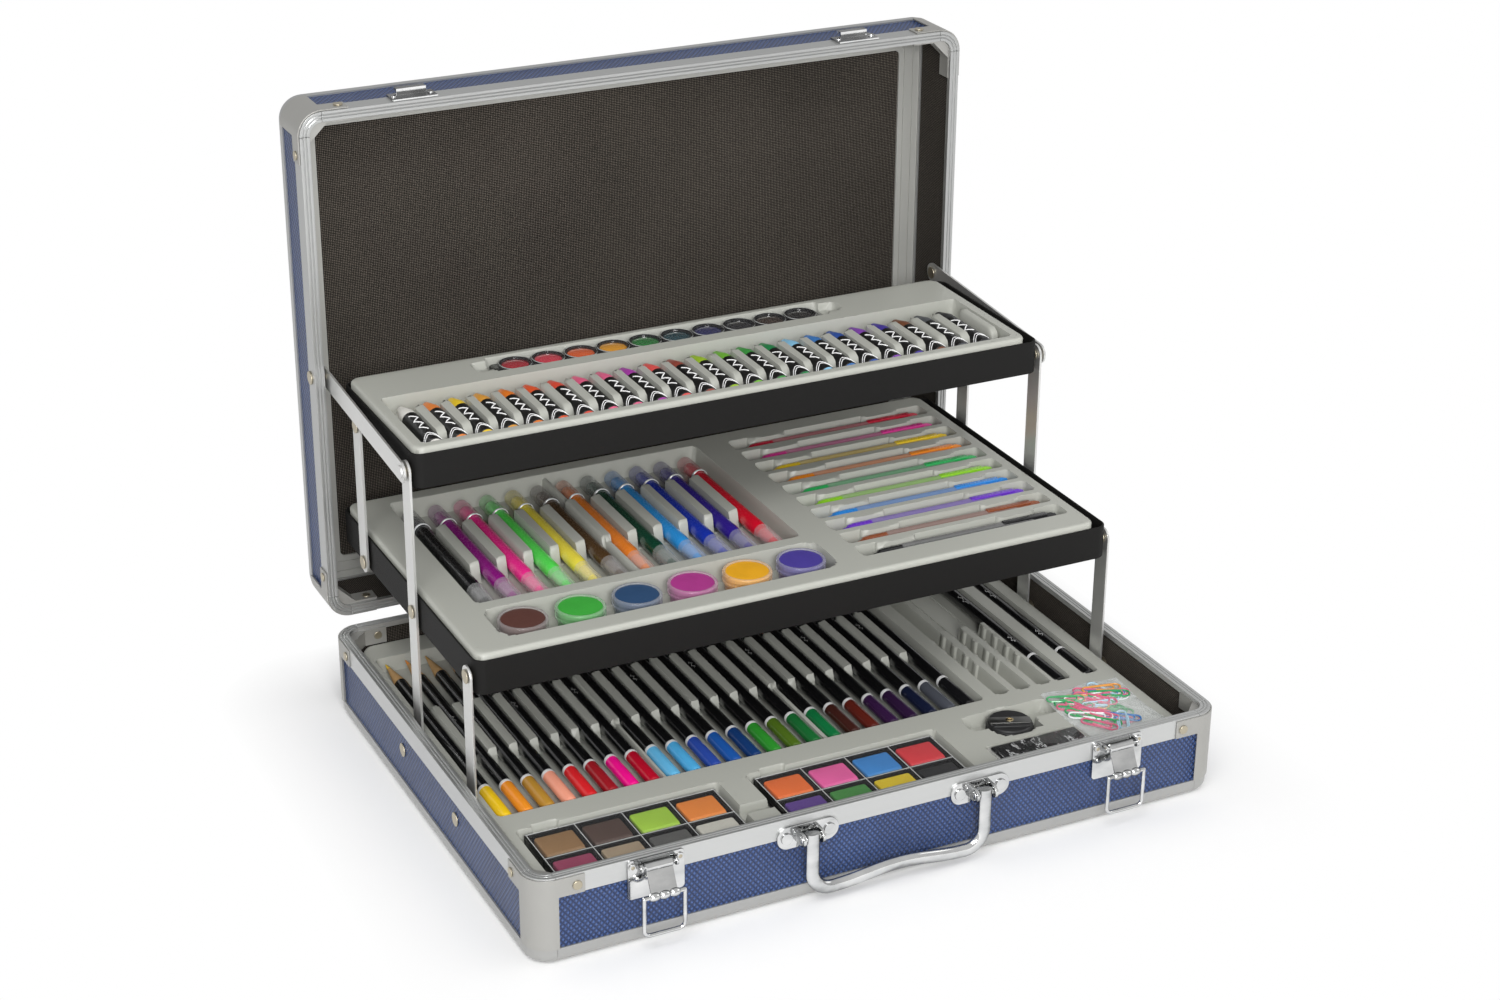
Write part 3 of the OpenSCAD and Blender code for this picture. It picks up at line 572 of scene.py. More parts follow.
COVER = clear("clear_cover", 0.008, 0.02, 0.08)
GEL_TUBE = clear("gel_tube", 0.6, 0.35, 0.14)
CLOUDY = clear("cloudy_plastic", 0.3, 0.5, 0.16)
FILM = clear("clear_film", 0.1, 0.5, 0.06, 1.0)
WRAPPED = wrapped()
STEEL = plain_metal("blade_steel", "8c8c8a", 0.25)
BRASS = plain_metal("brass", "d6c49c", 0.2)


# ---------------------------------------------------------------- case frame
for node, finish, width in (
        ("base_rim_rails", RAIL, 0.25), ("base_bottom_trim", TRIM, 0.3),
        ("lid_rim_rails", SHADED_LID_RAIL, 0.25), ("lid_edge_trim", SHADED_LID_RAIL, 0.3),
        ("base_corner_posts", POST, 0.3), ("lid_corner_posts", POST, 0.3),
        ("base_corner_gussets", POST, 0.2), ("lid_corner_gussets", POST, 0.2),
        ("long_arms", ARM, 0.25), ("front_arms", ARM, 0.25), ("rear_arms", ARM, 0.25),
        ("lid_arms", ARM, 0.25), ("hinge_base_leaves", CHROME, 0.2),
        ("hinge_lid_leaves", CHROME, 0.2), ("latch_plates", CHROME, 0.3),
        ("lid_strikers", CHROME, 0.25), ("handle_brackets", CHROME, 0.4),
        ("middle_tray_box", CARD, 0.5), ("top_tray_box", CARD, 0.5)):
    soften(node, finish, width)

for node, finish in (
        ("base_floor", BLUE), ("base_wall_panels", BLUE), ("lid_panel", BLUE),
        ("lid_wall_panels", BLUE), ("base_liner", LINING), ("lid_liner", LINING),
        ("lid_edge_rail", SHADED_INNER_RAIL), ("hinge_pins", CHROME), ("latch_bail_left", CHROME),
        ("latch_bail_right", CHROME)):
    slots = frame["nodes"][node].data.materials
    slots.clear()
    slots.append(finish)

for node in ("base_rivets", "lid_rivets", "pivot_rivets", "lid_pins", "middle_tray_pins",
             "top_tray_pins"):
    soften(node, RIVET, 0.3, 3)


GRIP_HALF, GRIP_TURN, GRIP_ARCH = 47.5, 10.5, 3.2
GRIP_THICK, GRIP_DEEP = 3.55, 2.3
TURN_STEPS, ARCH_STEPS, OVAL_STEPS = 8, 12, 20
HANDLE_PIN = [(1.5, -6.3), (1.8, -6.0), (1.8, 6.0), (1.5, 6.3)]


def bow_handle():
    """A round chromed bow whose grip is a little arched, with its two pins."""
    lo, hi = reach("handle")
    y, low, top = lo[1] + GRIP_DEEP, lo[2] + GRIP_THICK, hi[2] - 0.2
    leg = [(-GRIP_HALF, y, top), (-GRIP_HALF, y, top - 1.5), (-GRIP_HALF, y, (top + low) / 2 + 4)]
    for k in range(TURN_STEPS + 1):
        a = PI / 2 * k / TURN_STEPS
        leg.append((-GRIP_HALF + GRIP_TURN * (1 - math.cos(a)), y,
                    low + GRIP_TURN * (1 - math.sin(a))))
    arch = []
    for k in range(1, ARCH_STEPS):
        t = k / ARCH_STEPS
        arch.append(((GRIP_TURN - GRIP_HALF) * (1 - 2 * t), y,
                     low + GRIP_ARCH * math.sin(PI * t) ** 2))
    other_leg = [(-px, py, pz) for px, py, pz in reversed(leg)]
    turns = [2 * PI * k / OVAL_STEPS for k in range(OVAL_STEPS)]
    oval = [(GRIP_THICK * math.cos(a), GRIP_DEEP * math.sin(a)) for a in turns]
    form = Form()
    form.tube(leg + arch + other_leg, 1, section=oval, side=Vector((1, 0, 0)))
    for side in (-1, 1):
        form.lathe(HANDLE_PIN, at(side * GRIP_HALF, hi[1] - 1.8, hi[2] - 3, "x"))
    form.piece("bow_handle", BODY_OF["handle"], [CHROME], ("handle",), SLOT_OF["handle"], 50)


BARREL_R = 2.1
LEVER_PIN = [(1.0, -9.9), (1.0, 9.9)]
LEVER_BARREL = [(1.7, -7), (BARREL_R, -6.6), (BARREL_R, 6.6), (1.7, 7)]
TONGUE_W, TONGUE_H = 13.4, 1.1
TIP_W, TIP_BEADS, TIP_STEPS = 15.6, 3, 30
RIVET_HEAD = [(0.2, 0), (1.2, 0.12), (1.85, 0.5), (1.98, 0.9)]
PLATE_RIVET_X = 12.1


def latch_lever(node):
    """A rolled barrel, a flat tongue and a tip pressed into three beads."""
    lo, hi = reach(node)
    x = (lo[0] + hi[0]) / 2
    head = (hi[1] - BARREL_R, hi[2] - BARREL_R)
    tip = (lo[1] + BARREL_R, lo[2] + BARREL_R)
    dy, dz = tip[0] - head[0], tip[1] - head[1]
    form = Form()
    form.lathe(LEVER_PIN, at(x, *head, "x"), segs=16)
    form.lathe(LEVER_BARREL, at(x, *head, "x"))
    lean = Matrix.Rotation(math.atan2(dz, dy), 4, "X")
    form.slab(TONGUE_W, math.hypot(dy, dz) - 1, TONGUE_H, 1.0, 0.3,
              at(x, (head[0] + tip[0]) / 2, (head[1] + tip[1]) / 2) @ lean @ at(0, 0, -0.5))
    beads = [(1.2 + 0.9 * abs(math.sin(TIP_BEADS * PI * k / TIP_STEPS)) ** 0.6,
              (k / TIP_STEPS - 0.5) * TIP_W) for k in range(TIP_STEPS + 1)]
    form.lathe(beads, at(x, *tip, "x"))
    form.piece(node + "_shape", BODY_OF[node], [CHROME], (node,), SLOT_OF[node], 40)
    heads = Form()
    for side in (-1, 1):
        heads.lathe(RIVET_HEAD, at(x + side * PLATE_RIVET_X, head[0] + 1.9, head[1], "y"))
    heads.piece(node + "_plate_rivets", "base", [RIVET], (), SLOT_OF["base_rivets"], 50)


bow_handle()
latch_lever("latch_lever_left")
latch_lever("latch_lever_right")


# ---------------------------------------------------------------- formed inserts
PENCIL_R, PEN_R, GEL_R, POT_R, PASTEL_R, CAKE_R = 3.5, 4.3, 4.3, 12.8, 4.6, 7.6
PENCIL_X = row("colour_pencils", 0, len(PENCIL_COLOURS), PENCIL_R)
FELT_X = row("felt_pens", 0, len(FELT_COLOURS), PEN_R)
GEL_Y = row("gel_pens", 1, len(GEL_COLOURS), GEL_R)
POT_X = row("paint_pots", 0, len(POT_COLOURS), POT_R)
PASTEL_X = row("oil_pastels", 0, len(PASTEL_COLOURS), PASTEL_R)
CAKE_X = row("watercolour_cakes", 0, len(CAKE_COLOURS), CAKE_R)


def away(x, y, box, r):
    """Signed distance from a rounded rectangle (x0, x1, y0, y1), negative inside."""
    x0, x1, y0, y1 = box
    px = np.abs(x - (x0 + x1) / 2) - (x1 - x0) / 2 + r
    py = np.abs(y - (y0 + y1) / 2) - (y1 - y0) / 2 + r
    return np.hypot(np.maximum(px, 0), np.maximum(py, 0)) + np.minimum(np.maximum(px, py), 0) - r


def around(x, y, half_w, half_d):
    """The box (x0, x1, y0, y1) round a centre."""
    return (x - half_w, x + half_w, y - half_d, y + half_d)


def ease(t):
    """Goes smoothly from 0 to 1 as t does."""
    t = np.clip(t, 0, 1)
    return t * t * (3 - 2 * t)


class Sheet:
    """A formed sheet: a height over a grid, with pockets sunk in it and ribs raised in them."""

    LIP, WALL, RIB_WALL = 1.2, 1.3, 0.8
    OUTSIDE = 0.3  # the share of a wall that lies outside its box
    WALL_STEPS = (-0.7, -0.5, -0.3, -0.1, 0.1, 0.3)
    LIP_STEPS = (0.3, 0.6, 1)
    LINE_GAP = 0.16
    ROUND_CORNERS = 50

    def __init__(self, node, corner):
        lo, hi = reach(node)
        self.node, self.corner = node, corner
        self.box, self.top, self.bottom = (lo[0], hi[0], lo[1], hi[1]), hi[2], lo[2]
        self.steps = []
        self.marks = ([], [])

    def _step(self, kind, box, value, r, wall, nose=0.0):
        """Notes a pocket or a rib, and the grid lines that its walls need."""
        for axis in (0, 1):
            lo, hi = box[2 * axis:2 * axis + 2]
            self.marks[axis].extend([lo - o * wall for o in self.WALL_STEPS]
                                    + [hi + o * wall for o in self.WALL_STEPS])
        self.steps.append((kind, box, value, min(r, (box[1] - box[0]) / 2, (box[3] - box[2]) / 2),
                           wall, nose))

    def sink(self, box, depth, r=3.0):
        """A pocket in the box (x0, x1, y0, y1), with corners of radius r."""
        self._step("sink", box, depth, r, self.WALL)

    def rib(self, box, drop, r=2.0, wall=RIB_WALL, nose=0.0):
        """A rib whose crest lies drop below the sheet's top, its front end sloping over nose."""
        self._step("rib", box, drop, r, wall, nose)

    def height(self, x, y):
        h = np.zeros_like(x)
        for kind, box, value, r, wall, nose in self.steps:
            share = ease(self.OUTSIDE - away(x, y, box, r) / wall)
            if nose:
                share = share * np.sin(PI / 2 * np.clip((y - box[2]) / nose, 0, 1))
            if kind == "sink":
                h = np.minimum(h, -value * share)
            else:
                h = np.maximum(h, -value * share + h * (1 - share))
        edge = away(x, y, self.box, self.corner)
        return self.top + h - self.LIP * ease(1 + edge / self.LIP) ** 2

    def lines(self, axis, step):
        """Where the grid's lines lie on an axis: every step, and close together at walls."""
        lo, hi = self.box[2 * axis:2 * axis + 2]
        pts = list(np.arange(lo, hi, step)) + self.marks[axis] + [hi]
        pts += [lo + self.LIP * f for f in self.LIP_STEPS]
        pts += [hi - self.LIP * f for f in self.LIP_STEPS]
        kept = [lo]
        for p in sorted(p for p in pts if lo <= p <= hi):
            if p - kept[-1] > self.LINE_GAP:
                kept.append(p)
        kept[-1] = hi
        return np.array(kept)

    def piece(self, body, finish, step):
        """The sheet as an object, closed below, its grid bent round the sheet's corners."""
        gx, gy = self.lines(0, step[0]), self.lines(1, step[1])
        x, y = np.meshgrid(gx, gy, indexing="ij")
        r = self.corner
        cx = np.clip(x, self.box[0] + r, self.box[1] - r)
        cy = np.clip(y, self.box[2] + r, self.box[3] - r)
        a, b = (x - cx) / r, (y - cy) / r
        px = cx + a * np.sqrt(1 - b * b / 2) * r
        py = cy + b * np.sqrt(1 - a * a / 2) * r
        pz = self.height(px, py)
        nx, ny = len(gx), len(gy)
        verts = np.stack([px, py, pz], -1).reshape(-1, 3)
        i, j = np.meshgrid(np.arange(nx - 1), np.arange(ny - 1), indexing="ij")
        q = (i * ny + j).ravel()
        faces = np.stack([q, q + ny, q + ny + 1, q + 1], -1).tolist()
        rim = ([k * ny for k in range(nx)] + [(nx - 1) * ny + k for k in range(1, ny)]
               + [k * ny + ny - 1 for k in range(nx - 2, -1, -1)]
               + [k for k in range(ny - 2, 0, -1)])
        low = verts[rim].copy()
        low[:, 2] = self.bottom
        base = len(verts)
        verts = np.vstack([verts, low])
        n = len(rim)
        faces += [(rim[k], base + k, base + (k + 1) % n, rim[(k + 1) % n]) for k in range(n)]
        faces.append(tuple(base + k for k in range(n)))
        name = self.node + "_shape"
        mesh = bpy.data.meshes.new(name)
        mesh.from_pydata((verts * MM).tolist(), [], faces)
        mesh.materials.append(finish)
        finish_piece(mesh, name, body, (self.node,), self.ROUND_CORNERS)


# Boxes are (x0, x1, y0, y1) in millimetres, and depths are measured from a sheet's top.
PENCIL_BED, PENCIL_BED_DEPTH = (-174, 97, -61, 117), 8.2
PENCIL_RIB_Y = (0.0, 56.5)
LONG_PENCIL_RIBS, LONG_PENCIL_RIB_Y = (7, 15), (-61.5, 117.5)
PALETTE_X = (-118.2, 4.0)
PALETTE_POCKET_HALF, PALETTE_POCKET_Y, PALETTE_POCKET_DEPTH = 53.5, (-130, -77), 7.6
THUMB_NOTCH_X, THUMB_NOTCH_Y = (-45, -31), (-80, -74.6)
MIDDLE_NOTCH = (-66, -48, -110, -102)
SHARPENER_POCKET_R, FINGER_GROOVE, GROOVE_R = 14, (-23, 31, -2, 13), 7.4
ERASER_POCKET_HALF = (27, 8.5)
SLOTS = (109.5, 122.4, 135.0, 146.5, 164.0)
SLOT_Y, SLOT_DEPTH = (-60, 120), 8
WAVY_SLOTS, LOBES_Y = 3, (-27, -16, -4, 8)
NARROW_HALF, WIDE_HALF = 4.0, 4.6
LOBE_HALF_W, LOBE_HALF_D, LOBE_SHIFT = 1.9, 3, 2
CROSS_POCKET_Y = (15, 120)


def base_insert():
    bed = Sheet("base_insert", 8)
    bed.sink(PENCIL_BED, PENCIL_BED_DEPTH)
    for k, (a, b) in enumerate(zip(PENCIL_X, PENCIL_X[1:])):
        x = (a + b) / 2
        if k in LONG_PENCIL_RIBS:
            bed.rib((x - 1.1, x + 1.1, *LONG_PENCIL_RIB_Y), 1.4, 1.1, 0.6)
        bed.rib((x - 2.5, x + 2.5, *PENCIL_RIB_Y), 0.0, 1.3, 0.55, 2.6)
    for x in PALETTE_X:
        bed.sink((x - PALETTE_POCKET_HALF, x + PALETTE_POCKET_HALF, *PALETTE_POCKET_Y),
                 PALETTE_POCKET_DEPTH)
        bed.sink((x + THUMB_NOTCH_X[0], x + THUMB_NOTCH_X[1], *THUMB_NOTCH_Y), 4, 1.5)
    bed.sink(MIDDLE_NOTCH, 5, 1)
    x, y = middle("sharpener")[:2]
    bed.sink(around(x, y, SHARPENER_POCKET_R, SHARPENER_POCKET_R), 9, SHARPENER_POCKET_R)
    x0, x1, y0, y1 = FINGER_GROOVE
    bed.sink((x + x0, x + x1, y + y0, y + y1), 7, GROOVE_R)
    x, y = middle("eraser")[:2]
    bed.sink(around(x, y, *ERASER_POCKET_HALF), 8)
    for k, x in enumerate(SLOTS):
        half = NARROW_HALF if k < WAVY_SLOTS else WIDE_HALF
        bed.sink((x - half, x + half, *SLOT_Y), SLOT_DEPTH, half)
        if k < WAVY_SLOTS:
            for y in LOBES_Y:
                for side in (-1, 1):
                    lobe = around(x + side * (half + 0.6), y + side * LOBE_SHIFT,
                                  LOBE_HALF_W, LOBE_HALF_D)
                    bed.rib(lobe, 0.2, 1.8)
    bed.sink((SLOTS[0] + 5, SLOTS[3], *CROSS_POCKET_Y), 7.5, 3)
    bed.piece("base", FORMED, (4, 3))


FELT_POCKET, FELT_RIB_Y = (-156, 23, 7, 136), (48, 101)
LONG_FELT_RIB, LONG_FELT_RIB_Y = 5, (6.5, 136.5)
POT_POCKET = (-157, 26.5, -32.5, -1)
GEL_POCKET_X, GEL_GRIPS_X = (42, 164), ((54, 78), (126, 150))


def middle_insert():
    tray = Sheet("middle_tray_insert", 5)
    tray.sink(FELT_POCKET, 11, 4)
    for k, (a, b) in enumerate(zip(FELT_X, FELT_X[1:])):
        x = (a + b) / 2
        if k == LONG_FELT_RIB:
            tray.rib((x - 1.3, x + 1.3, *LONG_FELT_RIB_Y), 2.0, 1.3, 0.6)
        tray.rib((x - 2.9, x + 2.9, *FELT_RIB_Y), 0.0, 1.6, 0.7, 3.5)
    tray.sink(POT_POCKET, 12, 10)
    for y in GEL_Y:
        tray.sink((*GEL_POCKET_X, y - 6, y + 6), 10)
        for grip in GEL_GRIPS_X:
            tray.rib((*grip, y + 2.6, y + 8.0), 0.0, 2.6, 0.9)
    tray.piece("middle_tray", FORMED, (3.5, 3))


PASTEL_POCKET, PASTEL_RIB_Y = (-169.6, 164.6, 37, 98.5), (46.5, 84.5)
LAST_PASTEL_RIB_X = (159.0, 163.8)
WATER_POCKET_HALF, WATER_ENDS_HALF = (98, 9.5), (107, 6)


def top_insert():
    tray = Sheet("top_tray_insert", 5)
    tray.sink(PASTEL_POCKET, 9.5)
    ribs_x = [((a + b) / 2 - 2.7, (a + b) / 2 + 2.7) for a, b in zip(PASTEL_X, PASTEL_X[1:])]
    for rib_x in ribs_x + [LAST_PASTEL_RIB_X]:
        tray.rib((*rib_x, *PASTEL_RIB_Y), 0.2, 1.6, 0.8, 4.5)
    x, y = middle("watercolour_strip")[:2]
    tray.sink(around(x, y, *WATER_POCKET_HALF), 7, 4)
    tray.sink(around(x, y, *WATER_ENDS_HALF), 4, 5)
    tray.piece("top_tray", FORMED, (3.5, 3))



base_insert()
middle_insert()
top_insert()


# ---------------------------------------------------------------- base contents
PENCIL_DIP, BAND, BAND_RISE = 28.5, 2.0, 0.1
CUT_LENGTH, LEAD_LENGTH = 24, 6
LEAD_R, LEAD_TIP_R = 1.15, 0.35
OPEN_ENDS = (False, False)


def pencil(form, x, y0, z, length, cap, barrel, lead):
    """One pencil along Y, its dipped end at y0 and its point at the far end."""
    place = at(x, y0, z, "y", rng.uniform(0, 1))
    r = PENCIL_R
    band_end, cut, tip = PENCIL_DIP + BAND, length - CUT_LENGTH, length - LEAD_LENGTH
    form.lathe([(r * 0.55, 0), (r * 0.84, 0.5), (r, 1.6), (r, PENCIL_DIP)], place, 0, cap, 16,
               (True, False))
    form.lathe([(r, PENCIL_DIP), (r + 0.08, PENCIL_DIP + BAND_RISE), (r + 0.08, band_end),
                (r, band_end + BAND_RISE)], place, 0, SILVER_BAND, 16, OPEN_ENDS)
    form.lathe([(r, band_end), (r, cut)], place, 0, barrel, 16, OPEN_ENDS)
    form.lathe([(r, cut), (LEAD_R, tip)], place, 1, paint("c9a06a"), 16, OPEN_ENDS)
    form.lathe([(LEAD_R, tip), (LEAD_TIP_R, length)], place, 2, lead, 16, (False, True))


STAMP_STEPS, STAMP_LINE, STAMP_LIFT = 8, 0.12, 0.05


def stamp(form, x, y, z, length, tint=SILVER_BAND):
    """A small wave mark that runs along the top of a pencil."""
    path = []
    r = PENCIL_R + STAMP_LIFT
    for k in range(STAMP_STEPS + 1):
        turn = 0.22 * math.sin(k * PI / 2) - 0.4
        path.append((x + r * math.sin(turn), y + length * k / STAMP_STEPS,
                     z + r * math.cos(turn)))
    form.tube(path, STAMP_LINE, tint=tint, segs=5)


def colour_pencils():
    form = Form()
    lo, hi = reach("colour_pencils")
    z = lo[2] + PENCIL_R
    for k, (x, colour) in enumerate(zip(PENCIL_X, PENCIL_COLOURS)):
        pencil(form, x, lo[1], z, hi[1] - lo[1], colour, BLACK, colour)
        if k % 3 == 1:
            stamp(form, x, lo[1] + 96, z, 7, paint("8c8c8a"))
    form.piece("colour_pencil_set", "base", [LACQUER, RAW_WOOD, WAX], ("colour_pencils",),
               "wood")


def sketch_pencils():
    form = Form()
    lo, hi = reach("sketch_pencils")
    z = lo[2] + PENCIL_R
    for x in SLOTS[WAVY_SLOTS:]:
        pencil(form, x, lo[1], z, hi[1] - lo[1], BLACK, BLACK, paint("2a2a2c"))
        stamp(form, x, lo[1] + 46, z, 7)
        stamp(form, x, lo[1] + 96, z, 11)
    form.piece("sketch_pencil_pair", "base", [LACQUER, RAW_WOOD, WAX], ("sketch_pencils",),
               "wood")


PALETTE_W, PALETTE_D = 101, 48
PALETTE_FLOOR, PALETTE_WALL = 2.2, 6.3
OUTER_WALL, INNER_WALL = 1.4, 2.2
CELLS, CELL_W, CELL_D = 4, 24.8, 23


def palettes():
    frames, cakes = Form(), Form()
    y = middle("palette_frames")[1]
    z = reach("palette_frames")[0][2]
    walls_y = [(-PALETTE_D / 2 + 0.7, OUTER_WALL), (0, INNER_WALL),
               (PALETTE_D / 2 - 0.7, OUTER_WALL)]
    walls_x = [(-PALETTE_W / 2 + 0.9, OUTER_WALL), (PALETTE_W / 2 - 0.9, OUTER_WALL)]
    walls_x += [(k * CELL_W, INNER_WALL) for k in (-1, 0, 1)]
    for px, colours in zip(PALETTE_X, PALETTE_COLOURS):
        frames.slab(PALETTE_W, PALETTE_D, PALETTE_FLOOR, 1.5, 0.3, at(px, y, z))
        # Each wall is topped with a thin light line: a painted highlight along the edges of the
        # clear cover.
        for dy, w in walls_y:
            frames.slab(PALETTE_W, w, PALETTE_WALL, 0.4, 0.35, at(px, y + dy, z))
            frames.slab(PALETTE_W - 1, 0.35, 0.3, 0.1, 0.1, at(px, y + dy, z + PALETTE_WALL), 2,
                        paint("b8bab8"))
        for dx, w in walls_x:
            frames.slab(w, PALETTE_D, PALETTE_WALL - 0.05, 0.4, 0.35, at(px + dx, y, z))
            frames.slab(0.4, PALETTE_D - 1, 0.3, 0.1, 0.1, at(px + dx, y, z + PALETTE_WALL), 2,
                        paint("c4c6c4"))
        frames.slab(PALETTE_W - 0.6, PALETTE_D - 0.6, 0.4, 1.5, 0.15,
                    at(px, y, z + PALETTE_WALL + 0.25), 1)
        for n, colour in enumerate(colours):
            i, j = n % CELLS, n // CELLS
            place = at(px + (i - 1.5) * CELL_W, y + (j - 0.5) * CELL_D, z + PALETTE_FLOOR)
            # Each cake's front face is a lighter strip: a painted highlight, the clear cover's
            # reflection along the cake's front edge.
            pale = tuple(0.75 * c + 0.25 * math.sqrt(c) for c in colour[:3]) + (1.0,)
            cakes.slab(20.0, 16.8, 3.8, 1.4, 0.7, place, 0, colour, foot=0.3)
            cakes.slab(19.6, 1.9, 3.2, 0.5, 0.5, place @ at(0, -8.4, 0.2), 0, pale)
    frames.piece("palette_frame_pair", "base", [GLOSS_BLACK, COVER, PLASTIC],
                 ("palette_frames",), "black_gloss")
    cakes.piece("palette_paint_blocks", "base", [PRESSED], ("palette_cakes",), "paint")


BODY_RIBS = 36
BLADE_TURN = math.radians(-22)
BLADE_SCREW = [(2.1, -0.3), (2.1, 0.25), (1.7, 0.5), (0.9, 0.5), (0.8, 0.2), (0.2, 0.2)]


def sharpener():
    """A round moulded body with a channel, a steel blade across it and its screw."""
    lo, hi = reach("sharpener")
    x, y = middle("sharpener")[:2]
    body, blade = Form(), Form()
    r, h = (hi[0] - lo[0]) / 2, hi[2] - lo[2]
    body.lathe([(r - 0.6, 0), (r, 0.6), (r, h - 2.2), (r - 0.3, h - 1.9), (r - 0.3, h - 1.4),
                (r - 1.0, h - 0.7), (0.5, h - 0.7)], at(x, y, lo[2]), segs=48)
    for k in range(BODY_RIBS):
        a = 2 * PI * k / BODY_RIBS
        body.slab(0.7, 0.7, h - 2.6, 0.3, 0.2, at(x + r * math.cos(a), y + r * math.sin(a), lo[2]),
                  segs=2, steps=1)
    low, high = (at(x, y, hi[2] - drop, turn=BLADE_TURN) for drop in (0.9, 0.6))
    body.slab(19, 2.4, 0.9, 0.5, 0.3, low @ at(0, -5.6, 0))
    blade.slab(21.5, 6.2, 0.55, 0.3, 0.12, high)
    blade.slab(21, 0.8, 0.62, 0.3, 0.12, high @ at(0, -2.9, 0))
    blade.lathe(BLADE_SCREW, at(x, y + 0.4, hi[2] - 0.2), 1)
    body.piece("sharpener_body", "base", [MATT_BLACK], ("sharpener",), "black_gloss")
    blade.piece("sharpener_blade", "base", [STEEL, BRASS], (), "black_gloss")


def eraser():
    """A black eraser in a tight wrapper with a fold at each end."""
    lo, hi = reach("eraser")
    x, y = middle("eraser")[:2]
    form = Form()
    w, d, h = hi - lo
    form.slab(w, d, h, 1.2, 0.9, at(x, y, lo[2]))
    for fold_x, fold_w in ((x + w / 2 + 1, 4), (x - w / 2 - 0.6, 3)):
        form.slab(fold_w, d + 0.6, 0.25, 0.3, 0.1, at(fold_x, y, hi[2] - 1.2), 1, paint("e4e4de"))
    form.piece("wrapped_eraser", "base", [WRAPPED, CLEAR], ("eraser",), "rubber")


CLIP_WIRE_R, BEND_STEPS = 0.5, 6


def paper_clip(form, place, length, tint):
    """A bent wire clip lying nearly flat in the local XY plane."""
    w = length * 0.26
    path = []

    def bend(cx, cy, r, a0, a1):
        for k in range(BEND_STEPS + 1):
            a = math.radians(a0 + (a1 - a0) * k / BEND_STEPS)
            path.append((cx + r * math.cos(a), cy + r * math.sin(a), 0.25 * math.sin(a)))

    path.append((-length * 0.2, w * 0.5, 0))
    bend(length * 0.36, w * 0.06, w * 0.44, 90, -90)
    bend(-length * 0.32, 0, w * 0.38, 270, 90)
    bend(length * 0.24, w * 0.06, w * 0.3, 90, -90)
    path.append((-length * 0.12, -w * 0.24, 0.3))
    form.tube(path, CLIP_WIRE_R, place, 0, tint, 6)


CLIPS, CLIP_LENGTHS, CLIP_RISE = 30, (21, 26), 0.035
FILM_CELLS, FILM_FOLDS = 26, 7
FILM_LOW, FILM_HIGH, FILM_LIFT = 0.05, 2.25, 0.1


def clip_bag():
    """Coloured paper clips in a crumpled clear bag."""
    lo, hi = reach("clip_bag")
    x, y = middle("clip_bag")[:2]
    w, d = hi[0] - lo[0], hi[1] - lo[1]
    clips = Form()
    for k in range(CLIPS):
        place = (at(x + rng.uniform(-0.33, 0.28) * w, y + rng.uniform(-0.3, 0.33) * d,
                    lo[2] + 0.6 + CLIP_RISE * k) @ Matrix.Rotation(rng.gauss(-0.7, 0.5), 4, "Z")
                 @ Matrix.Rotation(rng.uniform(-0.01, 0.01), 4, "Y"))
        paper_clip(clips, place, rng.uniform(*CLIP_LENGTHS), CLIP_COLOURS[k % len(CLIP_COLOURS)])
    clips.piece("paper_clips", "base", [PLASTIC], (), "paint")
    film = Form()
    folds = [[rng.uniform(-1, 1) for _ in range(4)] for _ in range(FILM_FOLDS)]
    row_length = FILM_CELLS + 1
    corners = [(i * row_length + j, (i + 1) * row_length + j)
               for i in range(FILM_CELLS) for j in range(FILM_CELLS)]
    for side in (0, 1):
        verts = []
        for i in range(row_length):
            for j in range(row_length):
                u, v = 2 * i / FILM_CELLS - 1, 2 * j / FILM_CELLS - 1
                puff = (1 - u ** 4) * (1 - v ** 4)
                crumple = sum(math.sin(9 * a * u + 8 * b * v + 6 * c) * e
                              for a, b, c, e in folds) * 0.35
                pull = 1 + 0.05 * math.sin(5 * u + 3 * v)
                rise = puff * 1.5 + crumple * (0.15 + 0.35 * puff)
                verts.append((u * w / 2 * pull, v * d / 2 * (1 + 0.04 * math.sin(6 * u)),
                              FILM_LIFT + side * min(max(rise, FILM_LOW), FILM_HIGH)))
        film.add(verts, [(a, b, b + 1, a + 1) for a, b in corners], at(x, y, lo[2]),
                 tint=paint("f2f6f6"))
    film.piece("clip_bag_film", "base", [FILM], ("clip_bag",), "clear_plastic", 60)


colour_pencils()
sketch_pencils()
palettes()
sharpener()
eraser()
clip_bag()


# ---------------------------------------------------------------- middle tray contents
# Outlines are (radius, distance along the pen or height in the pot).
FELT_BARREL = [(1.4, 2), (2.2, 3.2), (2.4, 12), (3.0, 14), (3.2, 22), (3.9, 24), (4.3, 28),
               (4.15, 40), (4.15, 98), (3.6, 101), (3.4, 112), (1.0, 116)]
FELT_CAP = [(3.2, 0), (3.9, 0.5), (4.15, 1.5), (4.3, 12), (4.45, 21), (4.45, 22.4), (4.1, 22.6)]
FELT_CAP_LINER = [(3.3, 8), (3.3, 20)]
FELT_END_CAP = [(4.5, 99), (4.7, 100), (4.6, 112), (4.5, 118.4), (3.6, 119)]
FELT_END_RING = [(4.45, 98.2), (4.8, 98.4), (4.8, 99.4), (4.6, 99.6)]


